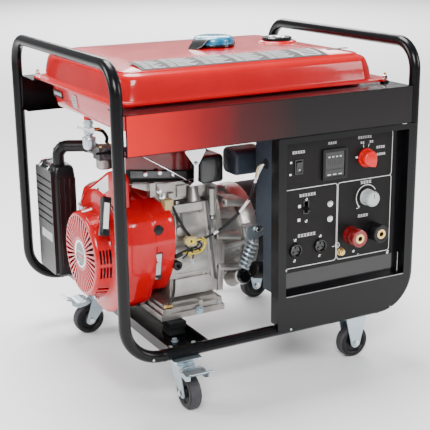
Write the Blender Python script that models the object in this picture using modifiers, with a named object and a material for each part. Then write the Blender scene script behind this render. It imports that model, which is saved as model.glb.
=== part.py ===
"""Engine driven welder: an open tube frame on four casters that carries a petrol engine, the
alternator it drives, a fuel tank and the welding control box. Metres, +Z up.

The recoil starter is at the -X end, the control box at the +X end, and the operator stands on the
-Y side. The wheels stand on Z = 0, and the origin is the middle of the footprint of the whole
machine, brake pedals included.
"""

import math

import bmesh
import bpy
from mathutils import Matrix, Vector

GAP = 0.0003  # left between two pieces that touch

# Tube frame
TUBE_R = 0.0125
HALF_X = 0.355
FRONT_Y = -0.26625
REAR_Y = 0.33375
RAIL_Z = 0.122
TOP_Z = 0.722
BOTTOM_BEND = 0.080
TOP_BEND = 0.060
STUB = 0.005  # straight length of a hoop past its lower bend
SHEET = 0.0025

# Channels that tie the hoops together and carry the tank
CHANNEL_LOW = 0.549
CHANNEL_HIGH = 0.631
CHANNEL_TOP_FLANGE = 0.0875
CHANNEL_FOOT_FLANGE = 0.040

# Crossmembers, open upwards
CROSS_LOW = 0.1092
CROSS_HIGH = 0.132
CROSS_WALL = 0.003
CROSS_LEFT = (-0.254, -0.162)
CROSS_RIGHT = (0.181, 0.269)

# Casters
WHEEL_R = 0.0375
WHEEL_HALF_W = 0.013
AXLE_R = 0.004
CASTER_TRAIL = 0.030
CASTER_PLATE_TOP = CROSS_LOW - GAP
CASTER_PLATE_T = 0.003
LEG_INNER = 0.0155
LEG_T = 0.003
FRONT_LEFT_CASTER = (-0.222, -0.25375)
REAR_LEFT_CASTER = (-0.222, 0.20825)
FRONT_RIGHT_CASTER = (0.230, -0.23075)
REAR_RIGHT_CASTER = (0.230, 0.21925)

# Engine and alternator, on one shaft
ENGINE_Y = 0.01125
SHAFT_Z = 0.275
SHAFT_R = 0.012
CRANKCASE_X = (-0.1777, -0.045)
BASE_X = (-0.218, -0.062)
BASE_Z = (0.144, 0.177)
BASE_HALF_Y = 0.160
COVER_X = (-0.0447, 0.020)
ALTERNATOR_X = (0.0203, 0.2150)
ALTERNATOR_R = 0.112
ROTOR_R = 0.076
END_COVER_X = (0.2153, 0.2650)

# Blower housing and recoil starter
HOUSING_X = (-0.2887, -0.1780)
RECOIL_BACK_X = -0.2890
RECOIL_DEPTH = 0.050
PULLEY_X = -0.318
ROPE_R = 0.002
ROPE_LINE_R = 0.0556  # from the shaft to the straight run of the rope
ROPE_ANGLE = math.radians(24.5)
GRIP_REACH = 0.1407  # along the rope, from where it leaves the pulley to the grip
ROPE_TAIL = 0.060

# Fuel tank
TANK_WALL = 0.002
TANK_X = (-0.317, 0.300)
TANK_Y = (-0.206, 0.274)
SEAM_Z = 0.6373
TANK_SHOULDER_Z = 0.690
TANK_CROWN_Z = 0.708
TANK_FLOOR_Z = 0.567
FILLER = (0.015, 0.03375)
NECK_R = 0.030
GAUGE = (0.185, 0.03375)
FUEL_VALVE = (-0.292, 0.045)

# Control box
BOX_X = (-0.003, 0.353)
BOX_Z = (0.117, 0.5487)
WINDOW_X = (0.017, 0.335)
WINDOW_Z = (0.199, 0.536)
BOX_FRONT_Y = FRONT_Y - TUBE_R - GAP - 0.002
BOX_BACK_Y = FRONT_Y - TUBE_R - GAP
PANEL_X = (0.0005, 0.317)
PANEL_Z = (0.245, 0.546)
PANEL_Y = FRONT_Y + 0.008
PANEL_T = 0.002
CASE_X = (0.0005, 0.335)
CASE_Z = (0.344, 0.546)
CASE_BACK_Y = FRONT_Y + 0.085
ROCKER = (0.060, 0.479)
METER = (0.151, 0.475)
SELECTOR = (0.235, 0.479)
CURRENT_KNOB = (0.240, 0.389)
TOGGLE = (0.080, 0.388)
RESETS = {"upper": (0.142, 0.387), "lower": (0.142, 0.353)}
OUTLETS = {"left": (0.054, 0.294), "right": (0.118, 0.295)}
WELD_TERMINALS = {"red": (0.199, 0.307), "black": (0.257, 0.309)}
EARTH = (0.173, 0.272)

# name: (colour, roughness, metallic)
FINISHES = {
    "black_powder_coat": ((0.018, 0.018, 0.020), 0.38, 0.0),
    "red_paint": ((0.62, 0.012, 0.018), 0.22, 0.0),
    "panel_black": ((0.022, 0.020, 0.020), 0.50, 0.0),
    "case_grey": ((0.20, 0.22, 0.26), 0.45, 0.0),
    "cast_aluminium": ((0.50, 0.48, 0.46), 0.45, 0.9),
    "zinc": ((0.62, 0.66, 0.70), 0.30, 1.0),
    "steel": ((0.45, 0.45, 0.46), 0.35, 1.0),
    "chrome": ((0.80, 0.80, 0.82), 0.12, 1.0),
    "brass": ((0.78, 0.55, 0.20), 0.28, 1.0),
    "copper_iron": ((0.30, 0.16, 0.09), 0.50, 0.6),
    "rubber": ((0.020, 0.021, 0.024), 0.75, 0.0),
    "black_plastic": ((0.020, 0.020, 0.021), 0.42, 0.0),
    "red_plastic": ((0.75, 0.015, 0.012), 0.30, 0.0),
    "blue_film": ((0.02, 0.42, 0.62), 0.20, 0.0),
    "heat_black": ((0.025, 0.026, 0.024), 0.60, 0.2),
}


def collection(name):
    made = bpy.data.collections.new(name)
    bpy.context.scene.collection.children.link(made)
    return made


def clear():
    for old in list(bpy.data.objects):
        bpy.data.objects.remove(old, do_unlink=True)


clear()
PARTS = collection("engine_driven_welder")
CUTTERS = collection("cutters")


def finish_material(name):
    found = bpy.data.materials.get(name)
    if found:
        return found
    colour, roughness, metallic = FINISHES[name]
    made = bpy.data.materials.new(name)
    made.use_nodes = True
    shader = made.node_tree.nodes["Principled BSDF"]
    shader.inputs["Base Color"].default_value = (*colour, 1.0)
    shader.inputs["Roughness"].default_value = roughness
    shader.inputs["Metallic"].default_value = metallic
    return made


def piece_from(mesh, name, finish):
    """A new object in the machine's collection, shaded smooth except at real edges."""
    mesh.name = name
    mesh.shade_smooth()
    mesh.set_sharp_from_angle(angle=math.radians(35))
    mesh.materials.clear()
    mesh.materials.append(finish_material(finish))
    piece = bpy.data.objects.new(name, mesh)
    PARTS.objects.link(piece)
    return piece


def piece_of(bm, name, finish):
    bmesh.ops.recalc_face_normals(bm, faces=bm.faces)
    mesh = bpy.data.meshes.new(name)
    bm.to_mesh(mesh)
    bm.free()
    return piece_from(mesh, name, finish)


def bevel_all(bm, width, segments=2):
    bmesh.ops.bevel(
        bm,
        geom=list(bm.edges),
        offset=width,
        segments=segments,
        profile=0.5,
        affect="EDGES",
        clamp_overlap=True,
    )


def block(name, finish, low, high, bevel=0.0):
    size = [b - a for a, b in zip(low, high)]
    middle = [(a + b) / 2 for a, b in zip(low, high)]
    bm = bmesh.new()
    place = Matrix.Translation(middle) @ Matrix.Diagonal((*size, 1.0))
    bmesh.ops.create_cube(bm, size=1.0, matrix=place)
    if bevel:
        bevel_all(bm, bevel)
    return piece_of(bm, name, finish)


def along(direction):
    """The turn that takes local +Z to a direction."""
    return Vector(direction).to_track_quat("Z", "Y").to_matrix().to_4x4()


def rod(name, finish, start, end, radius, sides=24, end_radius=None):
    start, end = Vector(start), Vector(end)
    bm = bmesh.new()
    bmesh.ops.create_cone(
        bm,
        cap_ends=True,
        segments=sides,
        radius1=radius,
        radius2=radius if end_radius is None else end_radius,
        depth=(end - start).length,
        matrix=Matrix.Translation((start + end) / 2) @ along(end - start),
    )
    return piece_of(bm, name, finish)


def turned(name, finish, profile, origin, axis, sides=32, closed=False):
    """A profile of (radius, height) points, outer side first and top down, turned about an axis."""
    mesh = bpy.data.meshes.new(name)
    edges = [(i, i + 1) for i in range(len(profile) - 1)]
    if closed:
        edges.append((len(profile) - 1, 0))
    mesh.from_pydata([(r, 0.0, h) for r, h in profile], edges, [])
    mesh.materials.append(finish_material(finish))
    piece = bpy.data.objects.new(name, mesh)
    PARTS.objects.link(piece)
    screw = piece.modifiers.new("turn", "SCREW")
    screw.axis = "Z"
    screw.steps = sides
    screw.render_steps = sides
    screw.use_merge_vertices = True
    screw.merge_threshold = 0.00001
    screw.use_smooth_shade = True
    piece.matrix_world = Matrix.Translation(origin) @ along(axis)
    return piece


def mesh_of_curve(piece, name, finish):
    """A curve object made a mesh, with its caps welded on."""
    bpy.context.view_layer.update()
    depsgraph = bpy.context.evaluated_depsgraph_get()
    mesh = bpy.data.meshes.new_from_object(piece.evaluated_get(depsgraph))
    bm = bmesh.new()
    bm.from_mesh(mesh)
    bmesh.ops.remove_doubles(bm, verts=bm.verts, dist=0.00001)
    bmesh.ops.recalc_face_normals(bm, faces=bm.faces)
    bm.to_mesh(mesh)
    bm.free()
    place = piece.matrix_world.copy()
    bpy.data.objects.remove(piece, do_unlink=True)
    made = piece_from(mesh, name, finish)
    made.matrix_world = place
    return made


def tube(name, finish, points, radius, resolution=4):
    curve = bpy.data.curves.new(name, "CURVE")
    curve.dimensions = "3D"
    curve.bevel_depth = radius
    curve.bevel_resolution = resolution
    curve.use_fill_caps = True
    spline = curve.splines.new("POLY")
    spline.points.add(len(points) - 1)
    for at, point in zip(spline.points, points):
        at.co = (*point, 1.0)
    piece = bpy.data.objects.new(name + "_curve", curve)
    bpy.context.scene.collection.objects.link(piece)
    return mesh_of_curve(piece, name, finish)


PLANES = {
    "X": Matrix(((0, 0, 1, 0), (1, 0, 0, 0), (0, 1, 0, 0), (0, 0, 0, 1))),
    "Y": Matrix(((1, 0, 0, 0), (0, 0, -1, 0), (0, 1, 0, 0), (0, 0, 0, 1))),
    "Z": Matrix.Identity(4),
}


def plate(name, finish, outline, low, high, axis, holes=()):
    """A flat outline, with holes, given thickness from low to high along an axis.

    The outline is in (Y, Z) for axis X, in (X, Z) for axis Y and in (X, Y) for axis Z.
    """
    curve = bpy.data.curves.new(name, "CURVE")
    curve.dimensions = "2D"
    curve.fill_mode = "BOTH"
    curve.extrude = (high - low) / 2
    for loop in (outline, *holes):
        spline = curve.splines.new("POLY")
        spline.points.add(len(loop) - 1)
        for at, (u, v) in zip(spline.points, loop):
            at.co = (u, v, 0.0, 1.0)
        spline.use_cyclic_u = True
    piece = bpy.data.objects.new(name + "_curve", curve)
    bpy.context.scene.collection.objects.link(piece)
    shift = [0.0, 0.0, 0.0]
    shift["XYZ".index(axis)] = (low + high) / 2
    piece.matrix_world = Matrix.Translation(shift) @ PLANES[axis]
    return mesh_of_curve(piece, name, finish)


def fillet(before, corner, after, radius, steps):
    """The points of an arc that rounds one corner of a path."""
    before, corner, after = Vector(before), Vector(corner), Vector(after)
    a, b = (before - corner).normalized(), (after - corner).normalized()
    half = a.angle(b) / 2
    centre = corner + (a + b).normalized() * (radius / math.sin(half))
    first = corner + a * (radius / math.tan(half)) - centre
    last = corner + b * (radius / math.tan(half)) - centre
    u = first.normalized()
    w = (last - u * last.dot(u)).normalized()
    sweep = first.angle(last)
    turns = [sweep * i / steps for i in range(steps + 1)]
    return [centre + (u * math.cos(t) + w * math.sin(t)) * radius for t in turns]


def rounded(corners, radii, steps=3):
    """A closed outline with each corner rounded by its own radius, 0 for a sharp one."""
    out = []
    for i, corner in enumerate(corners):
        if radii[i]:
            after = corners[(i + 1) % len(corners)]
            out += [tuple(p) for p in fillet(corners[i - 1], corner, after, radii[i], steps)]
        else:
            out.append(tuple(corner))
    return out


def rectangle(low, high, radius=0.0, steps=3):
    corners = [(low[0], low[1]), (high[0], low[1]), (high[0], high[1]), (low[0], high[1])]
    return rounded(corners, [radius] * 4, steps)


def circle(centre, radius, sides=20):
    turns = [2 * math.pi * i / sides for i in range(sides)]
    return [(centre[0] + radius * math.cos(t), centre[1] + radius * math.sin(t)) for t in turns]


def put_away(piece):
    for owner in list(piece.users_collection):
        owner.objects.unlink(piece)
    CUTTERS.objects.link(piece)
    piece.hide_render = True
    piece.display_type = "WIRE"


def combine(target, others, operation):
    for other in others:
        modifier = target.modifiers.new(operation.lower(), "BOOLEAN")
        modifier.operation = operation
        modifier.solver = "EXACT"
        modifier.object = other
        put_away(other)
    return target


def join(target, *others):
    return combine(target, others, "UNION")


def cut(target, *others):
    return combine(target, others, "DIFFERENCE")


def pivot(piece, point):
    """Moves a piece's origin to its joint's axis, leaving the shape where it is."""
    point = Vector(point)
    piece.data.transform(Matrix.Translation(-point) @ piece.matrix_world)
    piece.matrix_world = Matrix.Translation(point)
    return piece


def turn_about(piece, point, angle, axis="Z"):
    """Turns a piece's mesh about a vertical or level line through a point."""
    point = Vector(point)
    turn = Matrix.Translation(point) @ Matrix.Rotation(angle, 4, axis)
    piece.matrix_world = turn @ Matrix.Translation(-point) @ piece.matrix_world
    return piece


# ---------------------------------------------------------------- tube frame


def hoop(name, side):
    x = side * HALF_X
    stub_x = side * (HALF_X - BOTTOM_BEND - STUB)
    corners = [
        Vector((stub_x, FRONT_Y, RAIL_Z)),
        Vector((x, FRONT_Y, RAIL_Z)),
        Vector((x, FRONT_Y, TOP_Z)),
        Vector((x, REAR_Y, TOP_Z)),
        Vector((x, REAR_Y, RAIL_Z)),
        Vector((stub_x, REAR_Y, RAIL_Z)),
    ]
    radii = [BOTTOM_BEND, TOP_BEND, TOP_BEND, BOTTOM_BEND]
    path = [corners[0]]
    for i, radius in enumerate(radii):
        path += fillet(corners[i], corners[i + 1], corners[i + 2], radius, 6)
    path.append(corners[-1])
    return tube(name, "black_powder_coat", path, TUBE_R)


def rail(name, y):
    reach = HALF_X - BOTTOM_BEND - STUB - GAP
    ends = ((-reach, y, RAIL_Z), (reach, y, RAIL_Z))
    return rod(name, "black_powder_coat", *ends, TUBE_R, sides=12)


def crossmember(name, left, right):
    outline = [
        (left, CROSS_LOW),
        (right, CROSS_LOW),
        (right, CROSS_HIGH),
        (right - CROSS_WALL, CROSS_HIGH),
        (right - CROSS_WALL, CROSS_LOW + CROSS_WALL),
        (left + CROSS_WALL, CROSS_LOW + CROSS_WALL),
        (left + CROSS_WALL, CROSS_HIGH),
        (left, CROSS_HIGH),
    ]
    return plate(name, "black_powder_coat", outline, FRONT_Y, REAR_Y, "Y")


def base_frame():
    base = rail("base_frame", FRONT_Y)
    cross_left = crossmember("cross_left", *CROSS_LEFT)
    cross_right = crossmember("cross_right", *CROSS_RIGHT)
    join(base, cross_left, cross_right, rail("rear_rail", REAR_Y))


def channel(name, outer_y, inward):
    """A folded sheet between the hoops: a web, a broad top flange and a narrower foot."""
    reach = HALF_X - TUBE_R - GAP
    web = outer_y + inward * SHEET
    top = outer_y + inward * CHANNEL_TOP_FLANGE
    foot = outer_y + inward * CHANNEL_FOOT_FLANGE
    outline = [
        (outer_y, CHANNEL_LOW),
        (foot, CHANNEL_LOW),
        (foot, CHANNEL_LOW + SHEET),
        (web, CHANNEL_LOW + SHEET),
        (web, CHANNEL_HIGH - SHEET),
        (top, CHANNEL_HIGH - SHEET),
        (top, CHANNEL_HIGH),
        (outer_y, CHANNEL_HIGH),
    ]
    plate(name, "black_powder_coat", outline, -reach, reach, "X")


def build_frame():
    hoop("left_hoop", -1)
    hoop("right_hoop", 1)
    base_frame()
    channel("front_channel", FRONT_Y - TUBE_R, 1)
    channel("rear_channel", REAR_Y + TUBE_R, -1)


# ---------------------------------------------------------------- casters


def leg_outline(offset, top_z, half_top):
    """One leg of a fork, in (heading, Z): broad at the top, round about the axle."""
    foot = 0.012
    turns = [math.radians(200 + 140 * i / 5) for i in range(6)]
    round_end = [(offset + foot * math.cos(t), WHEEL_R + foot * math.sin(t)) for t in turns]
    return [(half_top, top_z), (-half_top, top_z), *round_end]


def caster_wheel(name, x, y, across):
    """A rubber tread on a hub, turned about its axle."""
    rim = WHEEL_R
    half = WHEEL_HALF_W
    profile = [
        (rim - 0.0035, half),
        (rim, half - 0.0045),
        (rim, -half + 0.0045),
        (rim - 0.0035, -half),
        (0.024, -half),
        (0.023, -half + 0.004),
        (0.012, -half + 0.004),
        (0.011, -half),
        (AXLE_R + GAP, -half),
        (AXLE_R + GAP, half),
        (0.011, half),
        (0.012, half - 0.004),
        (0.023, half - 0.004),
        (0.024, half),
    ]
    turned(name, "rubber", profile, (x, y, WHEEL_R), across, sides=28, closed=True)


def swivel_caster(tag, place, heading):
    """A braked swivel caster. Heading is the turn about Z of its trail from -Y."""
    x, y = place
    plate_low = CASTER_PLATE_TOP - CASTER_PLATE_T
    race_top = 0.0997
    bridge = (0.0905, 0.0935)
    top_plate = block(
        f"caster_{tag}_plate",
        "zinc",
        (x - 0.032, y - 0.032, plate_low),
        (x + 0.032, y + 0.032, CASTER_PLATE_TOP),
    )
    join(top_plate, rod("upper_race", "zinc", (x, y, 0.1000), (x, y, plate_low + 0.001), 0.022))

    fork = rod(f"caster_{tag}_fork", "zinc", (x, y, bridge[0]), (x, y, race_top), 0.023)
    outer = LEG_INNER + LEG_T
    deck = block("deck", "zinc", (x - outer, y - 0.030, bridge[0]), (x + outer, y + 0.020, bridge[1]))
    more = [deck]
    for side in (-1, 1):
        outline = [(y - u, z) for u, z in leg_outline(CASTER_TRAIL, bridge[1] - 0.001, 0.020)]
        inner_x, outer_x = sorted((x + side * LEG_INNER, x + side * outer))
        more.append(plate("leg", "zinc", outline, inner_x, outer_x, "X"))
        nut_in = x + side * (outer - 0.001)
        nut_out = x + side * (outer + 0.005)
        centre = (y - CASTER_TRAIL, WHEEL_R)
        more.append(rod("nut", "zinc", (nut_in, *centre), (nut_out, *centre), 0.0065, sides=6))
    ends = [(x + s * outer, y - CASTER_TRAIL, WHEEL_R) for s in (-1, 1)]
    more.append(rod("axle", "zinc", *ends, AXLE_R, sides=16))

    hinge = (y - 0.0340, 0.0890)
    pedal = rod(
        f"caster_{tag}_pedal", "zinc", (x - 0.024, *hinge), (x + 0.024, *hinge), 0.0030, sides=12
    )
    slope = [(0.0335, 0.0875), (0.0525, 0.0905), (0.0880, 0.1025), (0.0925, 0.1010)]
    under = [(u, z + 0.0022) for u, z in reversed(slope)]
    tread = plate("tread", "zinc", [(y - u, z) for u, z in slope + under], x - 0.024, x + 0.024, "X")

    across = Vector((math.cos(heading), math.sin(heading), 0.0))
    trail = Vector((math.sin(heading), -math.cos(heading), 0.0))
    for piece in (fork, pedal, tread, *more):
        turn_about(piece, (x, y, 0.0), heading)
    join(fork, *more)
    join(pedal, tread)
    pivot(fork, (x, y, race_top))
    hinge_at = Vector((x, y, 0.0)) + trail * 0.0340
    pivot(pedal, (hinge_at.x, hinge_at.y, hinge[1]))
    wheel_at = Vector((x, y, 0.0)) + trail * CASTER_TRAIL
    caster_wheel(f"caster_{tag}_wheel", wheel_at.x, wheel_at.y, across)


def fixed_caster(tag, place):
    """A rigid caster that rolls along X."""
    x, y = place
    plate_low = CASTER_PLATE_TOP - CASTER_PLATE_T
    outer = LEG_INNER + LEG_T
    fork = block(
        f"caster_{tag}_fork",
        "zinc",
        (x - 0.036, y - 0.032, plate_low),
        (x + 0.036, y + 0.032, CASTER_PLATE_TOP),
    )
    more = []
    for side in (-1, 1):
        outline = [(x + u, z) for u, z in leg_outline(0.0, plate_low + 0.001, 0.026)]
        inner_y, outer_y = sorted((y + side * LEG_INNER, y + side * outer))
        more.append(plate("leg", "zinc", outline, inner_y, outer_y, "Y"))
        nut = [(x, y + side * (outer + d), WHEEL_R) for d in (-0.001, 0.005)]
        more.append(rod("nut", "zinc", *nut, 0.0065, sides=6))
    ends = [(x, y + s * outer, WHEEL_R) for s in (-1, 1)]
    more.append(rod("axle", "zinc", *ends, AXLE_R, sides=16))
    join(fork, *more)
    caster_wheel(f"caster_{tag}_wheel", x, y, (0.0, 1.0, 0.0))


def build_casters():
    swivel_caster("fl", FRONT_LEFT_CASTER, 0.0)
    swivel_caster("rl", REAR_LEFT_CASTER, math.radians(-90))
    fixed_caster("fr", FRONT_RIGHT_CASTER)
    fixed_caster("rr", REAR_RIGHT_CASTER)


# ---------------------------------------------------------------- fuel tank


def tank_body(name, inset, low_z, high_z, crown, slope, corner, edge, widen=0.0):
    """A tapered box with round edges, its far face drawn in to a raised crown."""
    low = (TANK_X[0] + inset - widen, TANK_Y[0] + inset)
    high = (TANK_X[1] - inset + widen, TANK_Y[1] - inset)
    bm = bmesh.new()
    size = (high[0] - low[0], high[1] - low[1], high_z - low_z)
    middle = ((low[0] + high[0]) / 2, (low[1] + high[1]) / 2, (low_z + high_z) / 2)
    place = Matrix.Translation(middle) @ Matrix.Diagonal((*size, 1.0))
    bmesh.ops.create_cube(bm, size=1.0, matrix=place)
    far_z = high_z if crown > 0 else low_z
    for vert in bm.verts:
        if abs(vert.co.z - far_z) < 1e-6:
            vert.co.x -= slope[0] if vert.co.x > middle[0] else -slope[1]
            vert.co.y -= slope[2] if vert.co.y > middle[1] else -slope[2]
    uprights = [e for e in bm.edges if abs(e.verts[0].co.z - e.verts[1].co.z) > 1e-3]
    bmesh.ops.bevel(bm, geom=uprights, offset=corner, segments=4, profile=0.5, affect="EDGES")
    rim = [e for e in bm.edges if all(abs(v.co.z - far_z) < 1e-6 for v in e.verts)]
    bmesh.ops.bevel(bm, geom=rim, offset=edge, segments=3, profile=0.5, affect="EDGES")
    far = max(bm.faces, key=lambda f: f.calc_area() if abs(f.normal.z) > 0.9
              and abs(f.calc_center_median().z - far_z) < 1e-5 else 0.0)
    bmesh.ops.inset_region(bm, faces=[far], thickness=0.024)
    for vert in far.verts:
        vert.co.z += crown
    return piece_of(bm, name, "red_paint")


def seam_flange(name, low_z, high_z):
    outline = rectangle((-0.338, -0.216), (0.334, 0.284), 0.030, 4)
    return plate(name, "red_paint", outline, low_z, high_z, "Z")


def tank_upper_shell():
    crown = TANK_CROWN_Z - TANK_SHOULDER_Z
    shape = ((0.018, 0.006, 0.006), 0.040, 0.012)
    foot = SEAM_Z + GAP + 0.0005
    shell = tank_body("tank_upper_shell", 0.0, foot, TANK_SHOULDER_Z, crown, *shape)
    join(shell, seam_flange("upper_flange", SEAM_Z + GAP, SEAM_Z + GAP + TANK_WALL))
    neck = rod(
        "neck", "red_paint", (*FILLER, TANK_CROWN_Z - 0.004), (*FILLER, TANK_CROWN_Z + 0.0095), NECK_R
    )
    pad = rod(
        "pad", "red_paint", (*GAUGE, TANK_CROWN_Z - 0.001), (*GAUGE, TANK_CROWN_Z + 0.003), 0.044
    )
    join(shell, neck, pad)
    inner = tank_body(
        "upper_hollow",
        TANK_WALL,
        SEAM_Z - 0.010,
        TANK_SHOULDER_Z - TANK_WALL,
        crown,
        *shape,
    )
    bore = rod("neck_bore", "red_paint", (*FILLER, 0.68), (*FILLER, 0.74), NECK_R - 0.004)
    cut(shell, inner, bore)


def tank_lower_shell():
    shape = ((0.014, 0.010, 0.020), 0.045, 0.010, 0.025)
    shell = tank_body(
        "tank_lower_shell", 0.028, TANK_FLOOR_Z + 0.006, SEAM_Z - 0.0005, -0.006, *shape
    )
    join(shell, seam_flange("lower_flange", SEAM_Z - TANK_WALL, SEAM_Z))
    inner = tank_body(
        "lower_hollow",
        0.028 + TANK_WALL,
        TANK_FLOOR_Z + 0.006 + TANK_WALL,
        SEAM_Z + 0.010,
        -0.006,
        *shape,
    )
    boss = rod(
        "valve_boss",
        "red_paint",
        (*FUEL_VALVE, TANK_FLOOR_Z),
        (*FUEL_VALVE, TANK_FLOOR_Z + 0.020),
        0.010,
        12,
    )
    join(shell, boss)
    cut(shell, inner)


def fuel_cap():
    base_z = TANK_CROWN_Z + 0.001
    seat = TANK_CROWN_Z + 0.0100 - base_z
    profile = [
        (0.0, 0.0245),
        (0.030, 0.0240),
        (0.044, 0.0200),
        (0.048, 0.0140),
        (0.048, 0.0),
        (NECK_R + 0.0008, 0.0),
        (NECK_R + 0.0008, seat),
        (0.0, seat),
    ]
    turned("fuel_cap", "blue_film", profile, (*FILLER, base_z), (0, 0, 1), sides=32)


def fuel_gauge():
    profile = [
        (0.0, 0.0090),
        (0.024, 0.0085),
        (0.032, 0.0075),
        (0.0355, 0.0040),
        (0.0355, 0.0),
        (0.0, 0.0),
    ]
    seat = TANK_CROWN_Z + 0.003 + GAP
    turned("fuel_gauge", "black_plastic", profile, (*GAUGE, seat), (0, 0, 1), sides=24)


def fuel_valve():
    profile = [
        (0.0, 0.0),
        (0.0080, 0.0),
        (0.0080, -0.0100),
        (0.0120, -0.0120),
        (0.0120, -0.0330),
        (0.0080, -0.0360),
        (0.0155, -0.0400),
        (0.0155, -0.0600),
        (0.0120, -0.0660),
        (0.0, -0.0660),
    ]
    top = TANK_FLOOR_Z - GAP
    turned("fuel_valve", "zinc", profile, (*FUEL_VALVE, top), (0, 0, 1), sides=20)
    x, y = FUEL_VALVE
    z = top - 0.022
    hub = rod(
        "fuel_valve_lever", "zinc", (x, y - 0.0125, z), (x, y - 0.0185, z), 0.0065, sides=16
    )
    arm = block("arm", "zinc", (x - 0.034, y - 0.0185, z - 0.003), (x, y - 0.0160, z + 0.003))
    turn_about(arm, (x, y, z), math.radians(20), "Y")
    join(hub, arm)
    pivot(hub, (x, y - 0.0125, z))


def build_tank():
    tank_upper_shell()
    tank_lower_shell()
    fuel_cap()
    fuel_gauge()
    fuel_valve()


# ---------------------------------------------------------------- control box


def control_cover():
    corners = [
        (BOX_X[0], BOX_Z[0]),
        (BOX_X[1], BOX_Z[0]),
        (BOX_X[1], BOX_Z[1]),
        (BOX_X[0], BOX_Z[1]),
    ]
    outline = rounded(corners, [0.012, 0.078, 0.003, 0.003], 6)
    window = rectangle((WINDOW_X[0], WINDOW_Z[0]), (WINDOW_X[1], WINDOW_Z[1]), 0.006)
    cover = plate(
        "control_cover", "black_powder_coat", outline, BOX_FRONT_Y, BOX_BACK_Y, "Y", [window]
    )
    side = block(
        "side",
        "black_powder_coat",
        (BOX_X[0] + 0.0002, BOX_FRONT_Y + 0.001, RAIL_Z + TUBE_R + 0.001),
        (BOX_X[0] + 0.002, FRONT_Y + 0.0155, BOX_Z[1] - 0.0035),
    )
    join(cover, side)


def control_panel():
    """The inset panel, with a hole for each control."""
    half_meter = 0.029
    holes = [
        rectangle((ROCKER[0] - 0.0075, ROCKER[1] - 0.014), (ROCKER[0] + 0.0075, ROCKER[1] + 0.014)),
        rectangle(
            (METER[0] - half_meter, METER[1] - half_meter),
            (METER[0] + half_meter, METER[1] + half_meter),
        ),
        circle(SELECTOR, 0.0045, 12),
        circle(CURRENT_KNOB, 0.0045, 12),
        rectangle((TOGGLE[0] - 0.005, TOGGLE[1] - 0.013), (TOGGLE[0] + 0.005, TOGGLE[1] + 0.013)),
        circle(EARTH, 0.0045, 12),
    ]
    holes += [circle(at, 0.0055, 12) for at in RESETS.values()]
    holes += [circle(at, 0.0140, 20) for at in OUTLETS.values()]
    holes += [circle(at, 0.0090, 16) for at in WELD_TERMINALS.values()]
    outline = rectangle((PANEL_X[0], PANEL_Z[0]), (PANEL_X[1], PANEL_Z[1]), 0.004)
    plate("control_panel", "panel_black", outline, PANEL_Y, PANEL_Y + PANEL_T, "Y", holes)


def control_box_case():
    front = PANEL_Y + PANEL_T + GAP
    case = block(
        "control_box_case",
        "case_grey",
        (CASE_X[0], front, CASE_Z[0]),
        (CASE_X[1], CASE_BACK_Y, CASE_Z[1]),
    )
    wall = 0.0015
    hollow = block(
        "case_hollow",
        "case_grey",
        (CASE_X[0] + wall, front - 0.01, CASE_Z[0] + wall),
        (CASE_X[1] - wall, CASE_BACK_Y - wall, CASE_Z[1] - wall),
    )
    cut(case, hollow)


def panel_knob(name, finish, at, radius, height, pointer):
    """A turned knob on a shaft that passes through the panel."""
    foot = 0.0010
    profile = [
        (0.0, height),
        (radius - 0.002, height),
        (radius, height - 0.002),
        (radius, foot),
        (0.0040, foot),
        (0.0040, -0.014),
        (0.0, -0.014),
    ]
    knob = turned(name, finish, profile, (at[0], PANEL_Y, at[1]), (0, -1, 0), sides=28)
    if pointer:
        nose = plate(
            name + "_nose",
            finish,
            [(at[0] - 0.012, at[1]), (at[0], at[1] - 0.026), (at[0] + 0.012, at[1])],
            PANEL_Y - height,
            PANEL_Y - 0.006,
            "Y",
        )
        join(knob, turn_about(nose, (at[0], 0.0, at[1]), math.radians(-35), "Y"))
    return knob


def rocker():
    x, z = ROCKER
    piece = block(
        "mode_rocker",
        "black_plastic",
        (x - 0.0065, PANEL_Y - 0.0030, z - 0.0120),
        (x + 0.0065, PANEL_Y + 0.0080, z + 0.0120),
        0.0008,
    )
    turn_about(piece, (x, PANEL_Y + 0.004, z), math.radians(7), "X")
    pivot(piece, (x, PANEL_Y + 0.004, z))


def meter():
    x, z = METER
    bezel = block(
        "weld_meter",
        "black_plastic",
        (x - 0.032, PANEL_Y - 0.0060, z - 0.034),
        (x + 0.032, PANEL_Y - GAP, z + 0.034),
        0.0012,
    )
    body = block(
        "meter_body",
        "black_plastic",
        (x - 0.028, PANEL_Y - 0.002, z - 0.028),
        (x + 0.028, PANEL_Y + 0.045, z + 0.028),
    )
    join(bezel, body)


def breaker_toggle():
    x, z = TOGGLE
    piece = block(
        "breaker_toggle",
        "black_plastic",
        (x - 0.0040, PANEL_Y - 0.0140, z - 0.0035),
        (x + 0.0040, PANEL_Y + 0.0060, z + 0.0035),
        0.0010,
    )
    turn_about(piece, (x, PANEL_Y + 0.004, z), math.radians(20), "X")
    pivot(piece, (x, PANEL_Y + 0.004, z))


def reset_buttons():
    for tag, (x, z) in RESETS.items():
        profile = [
            (0.0, 0.0070),
            (0.0042, 0.0065),
            (0.0050, 0.0050),
            (0.0050, -0.0080),
            (0.0, -0.0080),
        ]
        name = f"reset_button_{tag}"
        turned(name, "zinc", profile, (x, PANEL_Y, z), (0, -1, 0), sides=16)


def outlets():
    for tag, (x, z) in OUTLETS.items():
        profile = [
            (0.0, 0.0020),
            (0.0115, 0.0020),
            (0.0125, 0.0050),
            (0.0145, 0.0050),
            (0.0155, 0.0035),
            (0.0155, GAP),
            (0.0135, GAP),
            (0.0135, -0.0260),
            (0.0, -0.0260),
        ]
        name = f"outlet_{tag}"
        turned(name, "black_plastic", profile, (x, PANEL_Y, z), (0, -1, 0), sides=24)


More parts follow.
